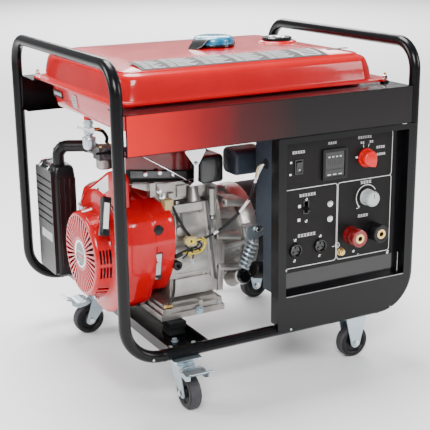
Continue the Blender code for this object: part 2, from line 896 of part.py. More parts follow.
def weld_terminals():
    """Each terminal is a thick insulating collar round a socket that is open at the front."""
    socket_r = 0.0055
    for tag, (x, z) in WELD_TERMINALS.items():
        finish = "red_plastic" if tag == "red" else "black_plastic"
        profile = [
            (0.0, 0.0060),
            (socket_r, 0.0060),
            (socket_r, 0.0380),
            (0.0190, 0.0380),
            (0.0205, 0.0360),
            (0.0205, GAP),
            (0.0085, GAP),
            (0.0085, -0.0220),
            (0.0, -0.0220),
        ]
        name = f"weld_terminal_{tag}"
        turned(name, finish, profile, (x, PANEL_Y, z), (0, -1, 0), sides=24)


def earth_terminal():
    x, z = EARTH
    profile = [
        (0.0, 0.0120),
        (0.0060, 0.0120),
        (0.0075, 0.0100),
        (0.0075, GAP),
        (0.0040, GAP),
        (0.0040, -0.0120),
        (0.0, -0.0120),
    ]
    turned("earth_terminal", "brass", profile, (x, PANEL_Y, z), (0, -1, 0), sides=16)


def build_control_box():
    control_cover()
    control_panel()
    control_box_case()
    rocker()
    meter()
    panel_knob("selector_knob", "red_plastic", SELECTOR, 0.0200, 0.022, True)
    panel_knob("current_knob", "zinc", CURRENT_KNOB, 0.0185, 0.029, False)
    breaker_toggle()
    reset_buttons()
    outlets()
    weld_terminals()
    earth_terminal()


# ---------------------------------------------------------------- engine


def shaft_at(x, y, z):
    """A point given from the engine's shaft in Y and from the floor in Z."""
    return Vector((x, ENGINE_Y + y, z))


def engine_outline(corners):
    return [(ENGINE_Y + y, z) for y, z in corners]


def shaft_bore(name, low_x, high_x, radius):
    ends = (shaft_at(low_x, 0.0, SHAFT_Z), shaft_at(high_x, 0.0, SHAFT_Z))
    return rod(name, "steel", *ends, radius, sides=20)


def crankcase():
    case = block(
        "crankcase",
        "cast_aluminium",
        shaft_at(BASE_X[0], -BASE_HALF_Y, BASE_Z[0]),
        shaft_at(BASE_X[1], BASE_HALF_Y, BASE_Z[1]),
        0.003,
    )
    side = [(0.118, 0.170), (0.125, 0.250), (0.115, 0.330), (0.095, 0.397)]
    corners = [(-y, z) for y, z in side] + list(reversed(side))
    body = plate("body", "cast_aluminium", engine_outline(corners), *CRANKCASE_X, "X")
    join(case, body)
    cut(case, shaft_bore("crank_bore", -0.30, 0.0, SHAFT_R + 0.0005))


def dipstick_axis():
    return Vector((0.0, -0.94, 0.34)).normalized()


def crankcase_cover():
    outline = [(ENGINE_Y + y, z) for y, z in circle((0.0, SHAFT_Z), 0.116, 32)]
    cover = plate("crankcase_cover", "cast_aluminium", outline, COVER_X[0], COVER_X[1], "X")
    mouth = shaft_at(0.003, -0.128, 0.2010)
    inner = mouth - dipstick_axis() * 0.050
    join(cover, rod("filler_boss", "cast_aluminium", inner, mouth, 0.0145, sides=20))
    well = rod("well", "steel", mouth - dipstick_axis() * 0.070, mouth + dipstick_axis() * 0.01, 0.0085)
    cut(cover, shaft_bore("cover_bore", -0.10, 0.05, SHAFT_R + 0.0005), well)

    profile = [
        (0.0, 0.0150),
        (0.0120, 0.0150),
        (0.0146, 0.0130),
        (0.0146, 0.0010),
        (0.0080, 0.0010),
        (0.0080, -0.0180),
        (0.0030, -0.0200),
        (0.0030, -0.0650),
        (0.0, -0.0650),
    ]
    turned("dipstick", "black_plastic", profile, mouth, dipstick_axis(), sides=20)


def comb(half_low, half_high, low_z, high_z, fins, top=()):
    """An outline in (Y, Z) with cooling fins on both sides and, at will, more on top."""
    pitch = (high_z - low_z) / (2 * fins - 1)
    right = []
    for i in range(fins):
        z = low_z + 2 * i * pitch
        right += [(half_high, z), (half_high, z + pitch)]
        if i < fins - 1:
            right += [(half_low, z + pitch), (half_low, z + 2 * pitch)]
    return right + list(top) + [(-y, z) for y, z in reversed(right)]


def cylinder():
    finned = comb(0.068, 0.092, 0.3973, 0.4547, 6)
    plate("cylinder_block", "cast_aluminium", engine_outline(finned), -0.165, -0.045, "X")
    rocker_cover = [
        (0.060, 0.4930),
        (0.060, 0.5110),
        (0.056, 0.5150),
        (-0.041, 0.5150),
        (-0.045, 0.5110),
        (-0.045, 0.4930),
    ]
    finned = comb(0.070, 0.086, 0.4550, 0.4930, 4, rocker_cover)
    plate("cylinder_head", "cast_aluminium", engine_outline(finned), -0.168, -0.042, "X")


def muffler():
    can = block(
        "muffler",
        "heat_black",
        shaft_at(-0.114, -0.160, 0.445),
        shaft_at(0.045, -0.096, 0.503),
        0.010,
    )
    ends = (shaft_at(-0.085, -0.100, 0.472), shaft_at(-0.085, -0.0865, 0.472))
    join(can, rod("exhaust_pipe", "heat_black", *ends, 0.013, sides=16))


def carburettor():
    body = block(
        "carburettor",
        "cast_aluminium",
        shaft_at(-0.272, 0.030, 0.468),
        shaft_at(-0.225, 0.078, 0.505),
        0.003,
    )
    bowl = rod(
        "bowl", "cast_aluminium", shaft_at(-0.249, 0.054, 0.448), shaft_at(-0.249, 0.054, 0.470), 0.020
    )
    inlet = (shaft_at(-0.227, 0.054, 0.480), shaft_at(-0.1685, 0.054, 0.480))
    join(body, bowl, rod("inlet", "cast_aluminium", *inlet, 0.012, sides=16))

    hub_start = shaft_at(-0.249, 0.0297, 0.490)
    hub_end = shaft_at(-0.249, 0.0240, 0.490)
    lever = rod("choke_lever", "black_plastic", hub_start, hub_end, 0.005, sides=14)
    arm = block(
        "choke_arm",
        "black_plastic",
        shaft_at(-0.281, 0.0240, 0.4875),
        shaft_at(-0.249, 0.0270, 0.4925),
    )
    join(lever, arm)
    pivot(lever, hub_start)


def air_cleaner():
    case = block(
        "air_cleaner",
        "black_plastic",
        shaft_at(-0.345, 0.156, 0.170),
        shaft_at(-0.280, 0.272, 0.440),
        0.006,
    )
    path = [
        shaft_at(-0.312, 0.185, 0.430),
        shaft_at(-0.312, 0.185, 0.482),
        shaft_at(-0.249, 0.150, 0.482),
        shaft_at(-0.249, 0.0785, 0.482),
    ]
    route = [path[0]]
    for i in (1, 2):
        route += fillet(path[i - 1], path[i], path[i + 1], 0.020, 4)
    route.append(path[-1])
    join(case, tube("duct", "black_plastic", route, 0.014, 3))


def blower_housing():
    wall = SHEET
    front = [
        (-0.098, 0.1777),
        (-0.141, 0.200),
        (-0.153, 0.255),
        (-0.162, 0.325),
        (-0.150, 0.392),
        (-0.115, 0.431),
    ]
    rear = [(0.060, 0.425), (0.112, 0.412), (0.150, 0.350), (0.150, 0.200), (0.098, 0.1777)]
    corners = engine_outline(front + rear)
    radii = [0.010] * len(corners)
    outline = rounded(corners, radii, 2)
    middle = Vector((ENGINE_Y, 0.300))
    shrink = [tuple(middle + (Vector(p) - middle) * 0.978) for p in outline]
    housing = plate("blower_housing", "red_paint", outline, *HOUSING_X, "X")
    duct = block(
        "duct_top",
        "red_paint",
        shaft_at(HOUSING_X[0], -0.104, 0.400),
        shaft_at(-0.236, -0.004, 0.468),
        0.005,
    )
    duct_hollow = block(
        "duct_hollow",
        "red_paint",
        shaft_at(HOUSING_X[0] + wall, -0.104 + wall, 0.390),
        shaft_at(-0.236 - wall, -0.004 - wall, 0.468 - wall),
        0.002,
    )
    hollow = plate("housing_hollow", "red_paint", shrink, HOUSING_X[0] + wall, HOUSING_X[1] + 0.02, "X")
    intake = shaft_bore("intake", HOUSING_X[0] - 0.01, HOUSING_X[0] + 0.01, 0.108)
    join(housing, duct)
    cut(housing, hollow, duct_hollow, intake)


def rope_point(along_rope, out=0.0):
    """A point on the rope's straight run, which touches the pulley where along_rope is 0."""
    pull = Vector((0.0, -math.cos(ROPE_ANGLE), math.sin(ROPE_ANGLE)))
    away = Vector((0.0, math.sin(ROPE_ANGLE), math.cos(ROPE_ANGLE)))
    start = shaft_at(PULLEY_X, 0.0, SHAFT_Z) + away * (ROPE_LINE_R + out)
    return start + pull * along_rope


def recoil_cover():
    wall = SHEET
    face = RECOIL_DEPTH
    profile = [
        (0.0, face),
        (0.088, face),
        (0.095, face - 0.005),
        (0.100, 0.013),
        (0.134, 0.006),
        (0.140, 0.0),
        (0.136, 0.0),
        (0.131, 0.0035),
        (0.0970, 0.0105),
        (0.0922, face - 0.0060),
        (0.087, face - wall),
        (0.0095, face - wall),
        (0.0095, 0.020),
        (0.0, 0.020),
    ]
    origin = shaft_at(RECOIL_BACK_X, 0.0, SHAFT_Z)
    cover = turned("recoil_cover", "red_paint", profile, origin, (-1, 0, 0), sides=40)
    boss = rod("rope_guide", "red_paint", rope_point(0.076), rope_point(0.126), 0.010, sides=16)
    join(cover, boss)
    cut(cover, rod("rope_hole", "red_paint", rope_point(0.060), rope_point(0.140), 0.0035, sides=12))


def recoil_pulley():
    groove = ROPE_LINE_R - ROPE_R - GAP
    profile = [
        (0.062, 0.006),
        (0.062, 0.003),
        (groove, 0.003),
        (groove, -0.003),
        (0.062, -0.003),
        (0.062, -0.006),
        (0.010, -0.006),
        (0.010, 0.006),
    ]
    origin = shaft_at(PULLEY_X, 0.0, SHAFT_Z)
    turned("recoil_pulley", "black_plastic", profile, origin, (-1, 0, 0), sides=32, closed=True)


def pull_handle():
    """A grip across the rope's end, leaning out a little, with the rope that it pulls."""
    half = (0.010, 0.011, 0.042)
    pull = (rope_point(1.0) - rope_point(0.0)).normalized()
    away = (rope_point(0.0, 1.0) - rope_point(0.0)).normalized()
    lean = math.radians(15)
    long_axis = away * math.cos(lean) + Vector((1, 0, 0)) * math.sin(lean)
    side_axis = long_axis.cross(pull)
    centre = rope_point(GRIP_REACH)
    turn = Matrix((pull, side_axis, long_axis)).transposed().to_4x4()
    place = Matrix.Translation(centre) @ turn @ Matrix.Diagonal((*[2 * h for h in half], 1.0))
    bm = bmesh.new()
    bmesh.ops.create_cube(bm, size=1.0, matrix=place)
    bevel_all(bm, 0.005, 3)
    grip = piece_of(bm, "pull_handle", "black_plastic")
    rope = rod(
        "starter_rope", "black_plastic", rope_point(-ROPE_TAIL), rope_point(GRIP_REACH), ROPE_R, sides=8
    )
    join(grip, rope)
    pivot(grip, centre)


def flywheel():
    """The flywheel, its ring of fan blades and the starter cup, on one hub."""
    blades = 18
    outline = []
    for i in range(blades):
        for share, radius in ((0.0, 0.064), (0.62, 0.064), (0.70, 0.092), (0.92, 0.092)):
            t = 2 * math.pi * (i + share) / blades
            outline.append((ENGINE_Y + radius * math.cos(t), SHAFT_Z + radius * math.sin(t)))
    wheel = plate("flywheel", "cast_aluminium", outline, -0.284, -0.262, "X")
    rim = shaft_bore("rim", -0.2635, -0.232, 0.084)
    cup = shaft_bore("cup", -0.304, -0.280, 0.045)
    join(wheel, rim, cup)
    cup_hollow = shaft_bore("cup_hollow", -0.310, -0.290, 0.042)
    cut(wheel, cup_hollow, shaft_bore("hub_bore", -0.31, -0.22, SHAFT_R + GAP))
    pivot(wheel, shaft_at(0.0, 0.0, SHAFT_Z))


def crankshaft():
    ends = (shaft_at(-0.300, 0.0, SHAFT_Z), shaft_at(0.262, 0.0, SHAFT_Z))
    shaft = rod("crankshaft", "steel", *ends, SHAFT_R, sides=20)
    pivot(shaft, shaft_at(0.0, 0.0, SHAFT_Z))


def build_engine():
    crankcase()
    crankcase_cover()
    cylinder()
    muffler()
    carburettor()
    air_cleaner()
    blower_housing()
    recoil_cover()
    recoil_pulley()
    pull_handle()
    flywheel()
    crankshaft()


# ---------------------------------------------------------------- alternator and mounts


def alternator():
    length = ALTERNATOR_X[1] - ALTERNATOR_X[0]
    profile = [
        (ALTERNATOR_R, length),
        (ALTERNATOR_R, 0.030),
        (0.100, 0.004),
        (0.100, 0.0),
        (0.078, 0.0),
        (0.078, length),
    ]
    start = shaft_at(ALTERNATOR_X[0], 0.0, SHAFT_Z)
    turned("alternator_housing", "steel", profile, start, (1, 0, 0), sides=40, closed=True)

    inner = SHAFT_R + GAP
    profile = [
        (ROTOR_R, 0.135),
        (ROTOR_R, 0.0),
        (inner, 0.0),
        (inner, 0.135),
    ]
    start = shaft_at(0.070, 0.0, SHAFT_Z)
    turned("alternator_rotor", "copper_iron", profile, start, (1, 0, 0), sides=32, closed=True)

    depth = END_COVER_X[1] - END_COVER_X[0]
    inner = SHAFT_R + 0.0005
    profile = [
        (0.080, depth),
        (0.100, depth - 0.012),
        (ALTERNATOR_R, 0.010),
        (ALTERNATOR_R, 0.0),
        (ALTERNATOR_R - 0.004, 0.0),
        (ALTERNATOR_R - 0.004, 0.009),
        (0.096, depth - 0.016),
        (0.078, depth - 0.004),
        (0.024, depth - 0.004),
        (0.024, depth - 0.020),
        (inner, depth - 0.020),
        (inner, depth),
    ]
    start = shaft_at(END_COVER_X[0], 0.0, SHAFT_Z)
    cover = turned(
        "alternator_end_cover", "cast_aluminium", profile, start, (1, 0, 0), sides=32, closed=True
    )
    foot = block(
        "foot",
        "cast_aluminium",
        shaft_at(END_COVER_X[0] + 0.001, -0.075, 0.1503),
        shaft_at(END_COVER_X[0] + 0.009, 0.075, 0.2000),
    )
    sole = block(
        "sole",
        "cast_aluminium",
        shaft_at(0.205, -0.075, 0.1503),
        shaft_at(0.255, 0.075, 0.1560),
    )
    join(cover, foot, sole)
    middle = shaft_at(0, 0, SHAFT_Z)
    for turn in range(6):
        angle = math.radians(60 * turn)
        across = Vector((-math.sin(angle), math.cos(angle)))
        out = Vector((math.cos(angle), math.sin(angle)))
        centre = Vector(middle[1:])
        corners = [
            centre + out * r + across * w
            for r, w in ((0.046, -0.018), (0.080, -0.018), (0.080, 0.018), (0.046, 0.018))
        ]
        window = plate(
            f"window_{turn}",
            "cast_aluminium",
            [tuple(c) for c in corners],
            END_COVER_X[0] + 0.012,
            END_COVER_X[1] + 0.010,
            "X",
        )
        cut(cover, window)


def mounts():
    seat = CROSS_LOW + CROSS_WALL + GAP
    for tag, y in (("front", -0.158), ("rear", 0.158)):
        block(
            f"engine_mount_{tag}",
            "rubber",
            shaft_at(-0.208, y - 0.020, seat),
            shaft_at(-0.168, y + 0.020, BASE_Z[0] - GAP),
            0.003,
        )
    block(
        "alternator_mount",
        "rubber",
        shaft_at(0.210, -0.065, seat),
        shaft_at(0.250, 0.065, 0.1500),
        0.003,
    )


def control_lead():
    """The pair of wires from the crankcase's sensor to the grommet in the control box's case."""
    route = [
        Vector((-0.1170, -0.1250, 0.3060)),
        Vector((-0.0800, -0.1350, 0.3200)),
        Vector((-0.0450, -0.1550, 0.3520)),
        Vector((-0.0250, -0.1850, 0.3920)),
        Vector((-0.0200, -0.2070, 0.4350)),
        Vector((-0.0190, -0.2210, 0.4720)),
        Vector((-0.0130, -0.2240, 0.4850)),
        Vector((-0.0002, -0.2240, 0.4860)),
    ]
    points = []
    ends = [2 * route[0] - route[1], *route, 2 * route[-1] - route[-2]]
    steps = 6
    for i in range(1, len(ends) - 2):
        a, b, c, d = ends[i - 1 : i + 3]
        for k in range(steps):
            t = k / steps
            points.append(
                0.5 * (2 * b + (c - a) * t + (2 * a - 5 * b + 4 * c - d) * t**2
                       + (3 * b - a - 3 * c + d) * t**3)
            )
    points.append(route[-1])
    tube("control_lead", "rubber", points, 0.0025, 2)


build_frame()
build_casters()
build_tank()
build_control_box()
build_engine()
alternator()
mounts()
control_lead()
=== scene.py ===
"""How the engine driven welder looks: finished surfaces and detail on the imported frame."""

import math

import bmesh
import bpy
from mathutils import Matrix, Vector


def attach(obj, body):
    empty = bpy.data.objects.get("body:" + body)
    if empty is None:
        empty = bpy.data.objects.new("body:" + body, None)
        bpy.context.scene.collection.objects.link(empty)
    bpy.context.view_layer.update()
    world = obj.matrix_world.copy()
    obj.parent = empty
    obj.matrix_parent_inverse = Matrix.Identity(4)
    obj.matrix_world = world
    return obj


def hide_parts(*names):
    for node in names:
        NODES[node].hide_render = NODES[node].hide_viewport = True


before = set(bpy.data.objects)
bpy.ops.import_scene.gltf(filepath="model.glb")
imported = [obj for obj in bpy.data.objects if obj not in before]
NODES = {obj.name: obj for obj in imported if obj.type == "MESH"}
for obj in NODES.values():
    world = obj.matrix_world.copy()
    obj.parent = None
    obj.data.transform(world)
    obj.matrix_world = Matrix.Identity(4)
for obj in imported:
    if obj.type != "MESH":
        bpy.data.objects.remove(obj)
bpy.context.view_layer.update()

EY = 0.01125  # the shaft's Y
SZ = 0.275  # the shaft's height
FRONT_Y, REAR_Y = -0.26625, 0.33375  # middles of the hoops' front and rear tubes
RAIL_Z, TOP_Z = 0.122, 0.722  # middles of their lower and upper tubes
TUBE_R = 0.0125
FILLER = (0.015, 0.03375, 0)  # the middle of the tank's neck and cap
GAUGE = (0.185, 0.03375, 0)
TIE_BOLTS = (35, 145, 215, 325)  # round the alternator, in degrees from +Y towards +Z
M = "machine"


# ------------------------------------------------------------------ materials


def material(name, colour, rough, metal=0.0, coat=0.0, grain=0.0, scale=60.0, bump=0.0,
             bump_scale=300.0, tint=None, rough_vary=0.06, spec=0.5):
    """A surface with a clouded colour, a varying roughness and a fine bump."""
    made = bpy.data.materials.new(name)
    made.use_nodes = True
    nodes, links = made.node_tree.nodes, made.node_tree.links
    shader = nodes["Principled BSDF"]
    shader.inputs["Metallic"].default_value = metal
    shader.inputs["Coat Weight"].default_value = coat
    shader.inputs["Coat Roughness"].default_value = 0.06
    shader.inputs["Specular IOR Level"].default_value = spec
    coords = nodes.new("ShaderNodeTexCoord")
    cloud = nodes.new("ShaderNodeTexNoise")
    cloud.inputs["Scale"].default_value = scale
    cloud.inputs["Detail"].default_value = 5.0
    links.new(coords.outputs["Object"], cloud.inputs["Vector"])
    ramp = nodes.new("ShaderNodeValToRGB")
    other = tint or [c * (1.0 - grain) for c in colour]
    ramp.color_ramp.elements[0].position = 0.35
    ramp.color_ramp.elements[1].position = 0.65
    ramp.color_ramp.elements[0].color = (*other, 1.0)
    ramp.color_ramp.elements[1].color = (*colour, 1.0)
    links.new(cloud.outputs["Fac"], ramp.inputs["Fac"])
    links.new(ramp.outputs["Color"], shader.inputs["Base Color"])
    spread = nodes.new("ShaderNodeMapRange")
    spread.inputs["To Min"].default_value = max(rough - rough_vary, 0.02)
    spread.inputs["To Max"].default_value = rough + rough_vary
    links.new(cloud.outputs["Fac"], spread.inputs["Value"])
    links.new(spread.outputs["Result"], shader.inputs["Roughness"])
    if bump:
        fine = nodes.new("ShaderNodeTexNoise")
        fine.inputs["Scale"].default_value = bump_scale
        fine.inputs["Detail"].default_value = 3.0
        links.new(coords.outputs["Object"], fine.inputs["Vector"])
        lift = nodes.new("ShaderNodeBump")
        lift.inputs["Strength"].default_value = bump
        lift.inputs["Distance"].default_value = 0.001
        links.new(fine.outputs["Fac"], lift.inputs["Height"])
        links.new(lift.outputs["Normal"], shader.inputs["Normal"])
    return made


def painted_red_reflection_material():
    """Red reflection painted on the black channel's face, fading to black towards +X."""
    made = bpy.data.materials.new("painted_red_reflection")
    made.use_nodes = True
    nodes, links = made.node_tree.nodes, made.node_tree.links
    shader = nodes["Principled BSDF"]
    coords = nodes.new("ShaderNodeTexCoord")
    split = nodes.new("ShaderNodeSeparateXYZ")
    links.new(coords.outputs["Object"], split.inputs["Vector"])
    cloud = nodes.new("ShaderNodeTexNoise")
    cloud.inputs["Scale"].default_value = 9.0
    links.new(coords.outputs["Object"], cloud.inputs["Vector"])
    wander = nodes.new("ShaderNodeMath")
    wander.operation = "MULTIPLY_ADD"
    wander.inputs[1].default_value = 0.05
    links.new(cloud.outputs["Fac"], wander.inputs[0])
    links.new(split.outputs["X"], wander.inputs[2])
    reach = nodes.new("ShaderNodeMapRange")
    reach.inputs["From Min"].default_value = -0.34
    reach.inputs["From Max"].default_value = 0.34
    links.new(wander.outputs["Value"], reach.inputs["Value"])
    ramp = nodes.new("ShaderNodeValToRGB")
    stops = ramp.color_ramp.elements
    stops[0].position, stops[0].color = 0.0, (0.66, 0.0015, 0.0, 1.0)
    stops[1].position, stops[1].color = 0.6, (0.006, 0.0045, 0.0045, 1.0)
    for at, colour in ((0.14, (0.5, 0.0, 0.002)), (0.28, (0.2, 0.001, 0.003)),
                       (0.4, (0.05, 0.004, 0.005))):
        stop = stops.new(at)
        stop.color = (*colour, 1.0)
    links.new(reach.outputs["Result"], ramp.inputs["Fac"])
    links.new(ramp.outputs["Color"], shader.inputs["Base Color"])
    shader.inputs["Roughness"].default_value = 0.34
    shader.inputs["Specular IOR Level"].default_value = 0.25
    shader.inputs["Coat Weight"].default_value = 0.15
    shader.inputs["Coat Roughness"].default_value = 0.15
    return made


BLACK = material("powder_black", (0.0022, 0.0022, 0.003), 0.24, grain=0.3, bump=0.06,
                 bump_scale=700, spec=0.26)
PANEL = material("panel_black", (0.0065, 0.0055, 0.0052), 0.46, grain=0.3, bump=0.1,
                 bump_scale=900, spec=0.2)
RED = material("red_gloss", (0.52, 0.0, 0.0045), 0.2, coat=0.42, grain=0.1, scale=14,
               bump=0.04, bump_scale=260, spec=0.25)
# painted red reflection for the front channel's face
PAINTED_RED_REFLECTION = painted_red_reflection_material()
CAST = material("cast_aluminium", (0.6, 0.58, 0.55), 0.36, metal=0.93, tint=(0.33, 0.31, 0.29),
                scale=16, bump=0.6, bump_scale=380, rough_vary=0.14)
CAST_DARK = material("cast_aluminium_dark", (0.16, 0.16, 0.165), 0.48, metal=0.7, grain=0.45,
                     scale=30, bump=0.5, bump_scale=420)
# dark metal: painted shade for the cylinder's fins and the plate in front of them, which sit in shade
PAINTED_SHADE_METAL = material("metal_in_painted_shade", (0.03, 0.029, 0.029), 0.55, metal=0.4, grain=0.5, scale=40,
                bump=0.5, bump_scale=420)
ZINC = material("zinc", (0.56, 0.64, 0.69), 0.3, metal=0.85, tint=(0.44, 0.55, 0.63), scale=26,
                bump=0.05, rough_vary=0.1)
STEEL = material("steel", (0.42, 0.42, 0.43), 0.34, metal=1.0, grain=0.2, bump=0.1)
CHROME = material("chrome", (0.82, 0.83, 0.85), 0.1, metal=1.0, grain=0.05, rough_vary=0.03)
BRASS = material("brass", (0.86, 0.6, 0.22), 0.24, metal=1.0, grain=0.15, bump=0.05)
COPPER = material("windings", (0.36, 0.13, 0.06), 0.42, metal=0.6, grain=0.4, bump=0.6,
                  bump_scale=240)
IRON = material("laminations", (0.1, 0.1, 0.11), 0.5, metal=0.7, grain=0.4, bump=0.5,
                bump_scale=900)
RUBBER = material("rubber", (0.004, 0.0045, 0.0055), 0.58, grain=0.3, bump=0.25, bump_scale=500,
                  spec=0.3)
TREAD = material("tread", (0.06, 0.058, 0.064), 0.8, grain=0.25, bump=0.4, bump_scale=420,
                 spec=0.3)
PLASTIC = material("black_plastic", (0.0055, 0.0055, 0.0065), 0.34, grain=0.2, bump=0.1,
                   bump_scale=900, spec=0.32)
SHINE = material("black_gloss", (0.0035, 0.0035, 0.0045), 0.14, grain=0.2, coat=0.4, spec=0.4)
REDPL = material("red_plastic", (0.66, 0.004, 0.004), 0.28, grain=0.08, coat=0.3, spec=0.3)
# dark red: the weld socket's own colour, and painted shade on the red shroud's upper duct
MAROON_AND_SHADED_RED = material("red_socket_and_shaded_red", (0.2, 0.003, 0.005), 0.22, grain=0.15, coat=0.5)
GREYPL = material("grey_plastic", (0.5, 0.54, 0.54), 0.42, grain=0.08, bump=0.08)
WHITE = material("white_print", (0.86, 0.86, 0.86), 0.55, grain=0.06)
LABEL = material("label", (0.5, 0.5, 0.52), 0.5, grain=0.15, spec=0.3)
STRIP = material("label_grey", (0.03, 0.024, 0.026), 0.55, grain=0.3, spec=0.2)
CYAN = material("blue_film", (0.004, 0.36, 0.6), 0.2, tint=(0.006, 0.11, 0.24), scale=60,
                coat=0.8, bump=0.5, bump_scale=120)
CREAM = material("connector", (0.56, 0.44, 0.2), 0.45, grain=0.2)
YELLOW = material("yellow_wire", (0.8, 0.6, 0.02), 0.4, grain=0.1)
WIRE = material("black_wire", (0.005, 0.005, 0.006), 0.38, grain=0.2, spec=0.4)
CASEGREY = material("case_grey", (0.032, 0.042, 0.06), 0.4, grain=0.25, bump=0.1, spec=0.35)
HEAT = material("heat_black", (0.006, 0.007, 0.0065), 0.22, grain=0.4, scale=40, bump=0.2,
                coat=0.4)
# near black: painted shade inside holes, slots and the tank's open neck
PAINTED_SHADE_BLACK = material("opening", (0.001, 0.001, 0.001), 0.8, spec=0.1)
GLASS = material("meter_window", (0.009, 0.009, 0.01), 0.1, grain=0.2, coat=0.4)


# ------------------------------------------------------------------ mesh tools


def toward(direction):
    """A turn that brings +Z onto a direction."""
    return Vector(direction).to_track_quat("Z", "Y").to_matrix().to_4x4()


def smooth_path(points, steps=6):
    """A rounded path through points, ends included."""
    pts = [Vector(p) for p in points]
    ends = [2 * pts[0] - pts[1], *pts, 2 * pts[-1] - pts[-2]]
    out = []
    for i in range(1, len(ends) - 2):
        a, b, c, d = ends[i - 1 : i + 3]
        for k in range(steps):
            t = k / steps
            out.append(0.5 * (2 * b + (c - a) * t + (2 * a - 5 * b + 4 * c - d) * t**2
                              + (3 * b - a - 3 * c + d) * t**3))
    return out + [pts[-1]]


def fillet(before, corner, after, radius, steps=8):
    """Points along the arc that rounds one corner of a path."""
    before, corner, after = Vector(before), Vector(corner), Vector(after)
    a, b = (before - corner).normalized(), (after - corner).normalized()
    half = a.angle(b) / 2
    centre = corner + (a + b).normalized() * (radius / math.sin(half))
    first = corner + a * (radius / math.tan(half)) - centre
    last = corner + b * (radius / math.tan(half)) - centre
    u = first.normalized()
    w = (last - u * last.dot(u)).normalized()
    sweep = first.angle(last)
    turns = [sweep * i / steps for i in range(steps + 1)]
    return [centre + (u * math.cos(t) + w * math.sin(t)) * radius for t in turns]


def rounded(corners, radii, steps=5):
    """A closed outline with each corner rounded by its own radius; 0 keeps it sharp."""
    out = []
    for i, corner in enumerate(corners):
        if radii[i]:
            after = corners[(i + 1) % len(corners)]
            out += [tuple(p) for p in fillet(corners[i - 1], corner, after, radii[i], steps)]
        else:
            out.append(tuple(corner))
    return out


def rect(x0, y0, x1, y1, r, steps=5):
    """A rectangle with rounded corners."""
    return rounded([(x0, y0), (x1, y0), (x1, y1), (x0, y1)], [r] * 4, steps)


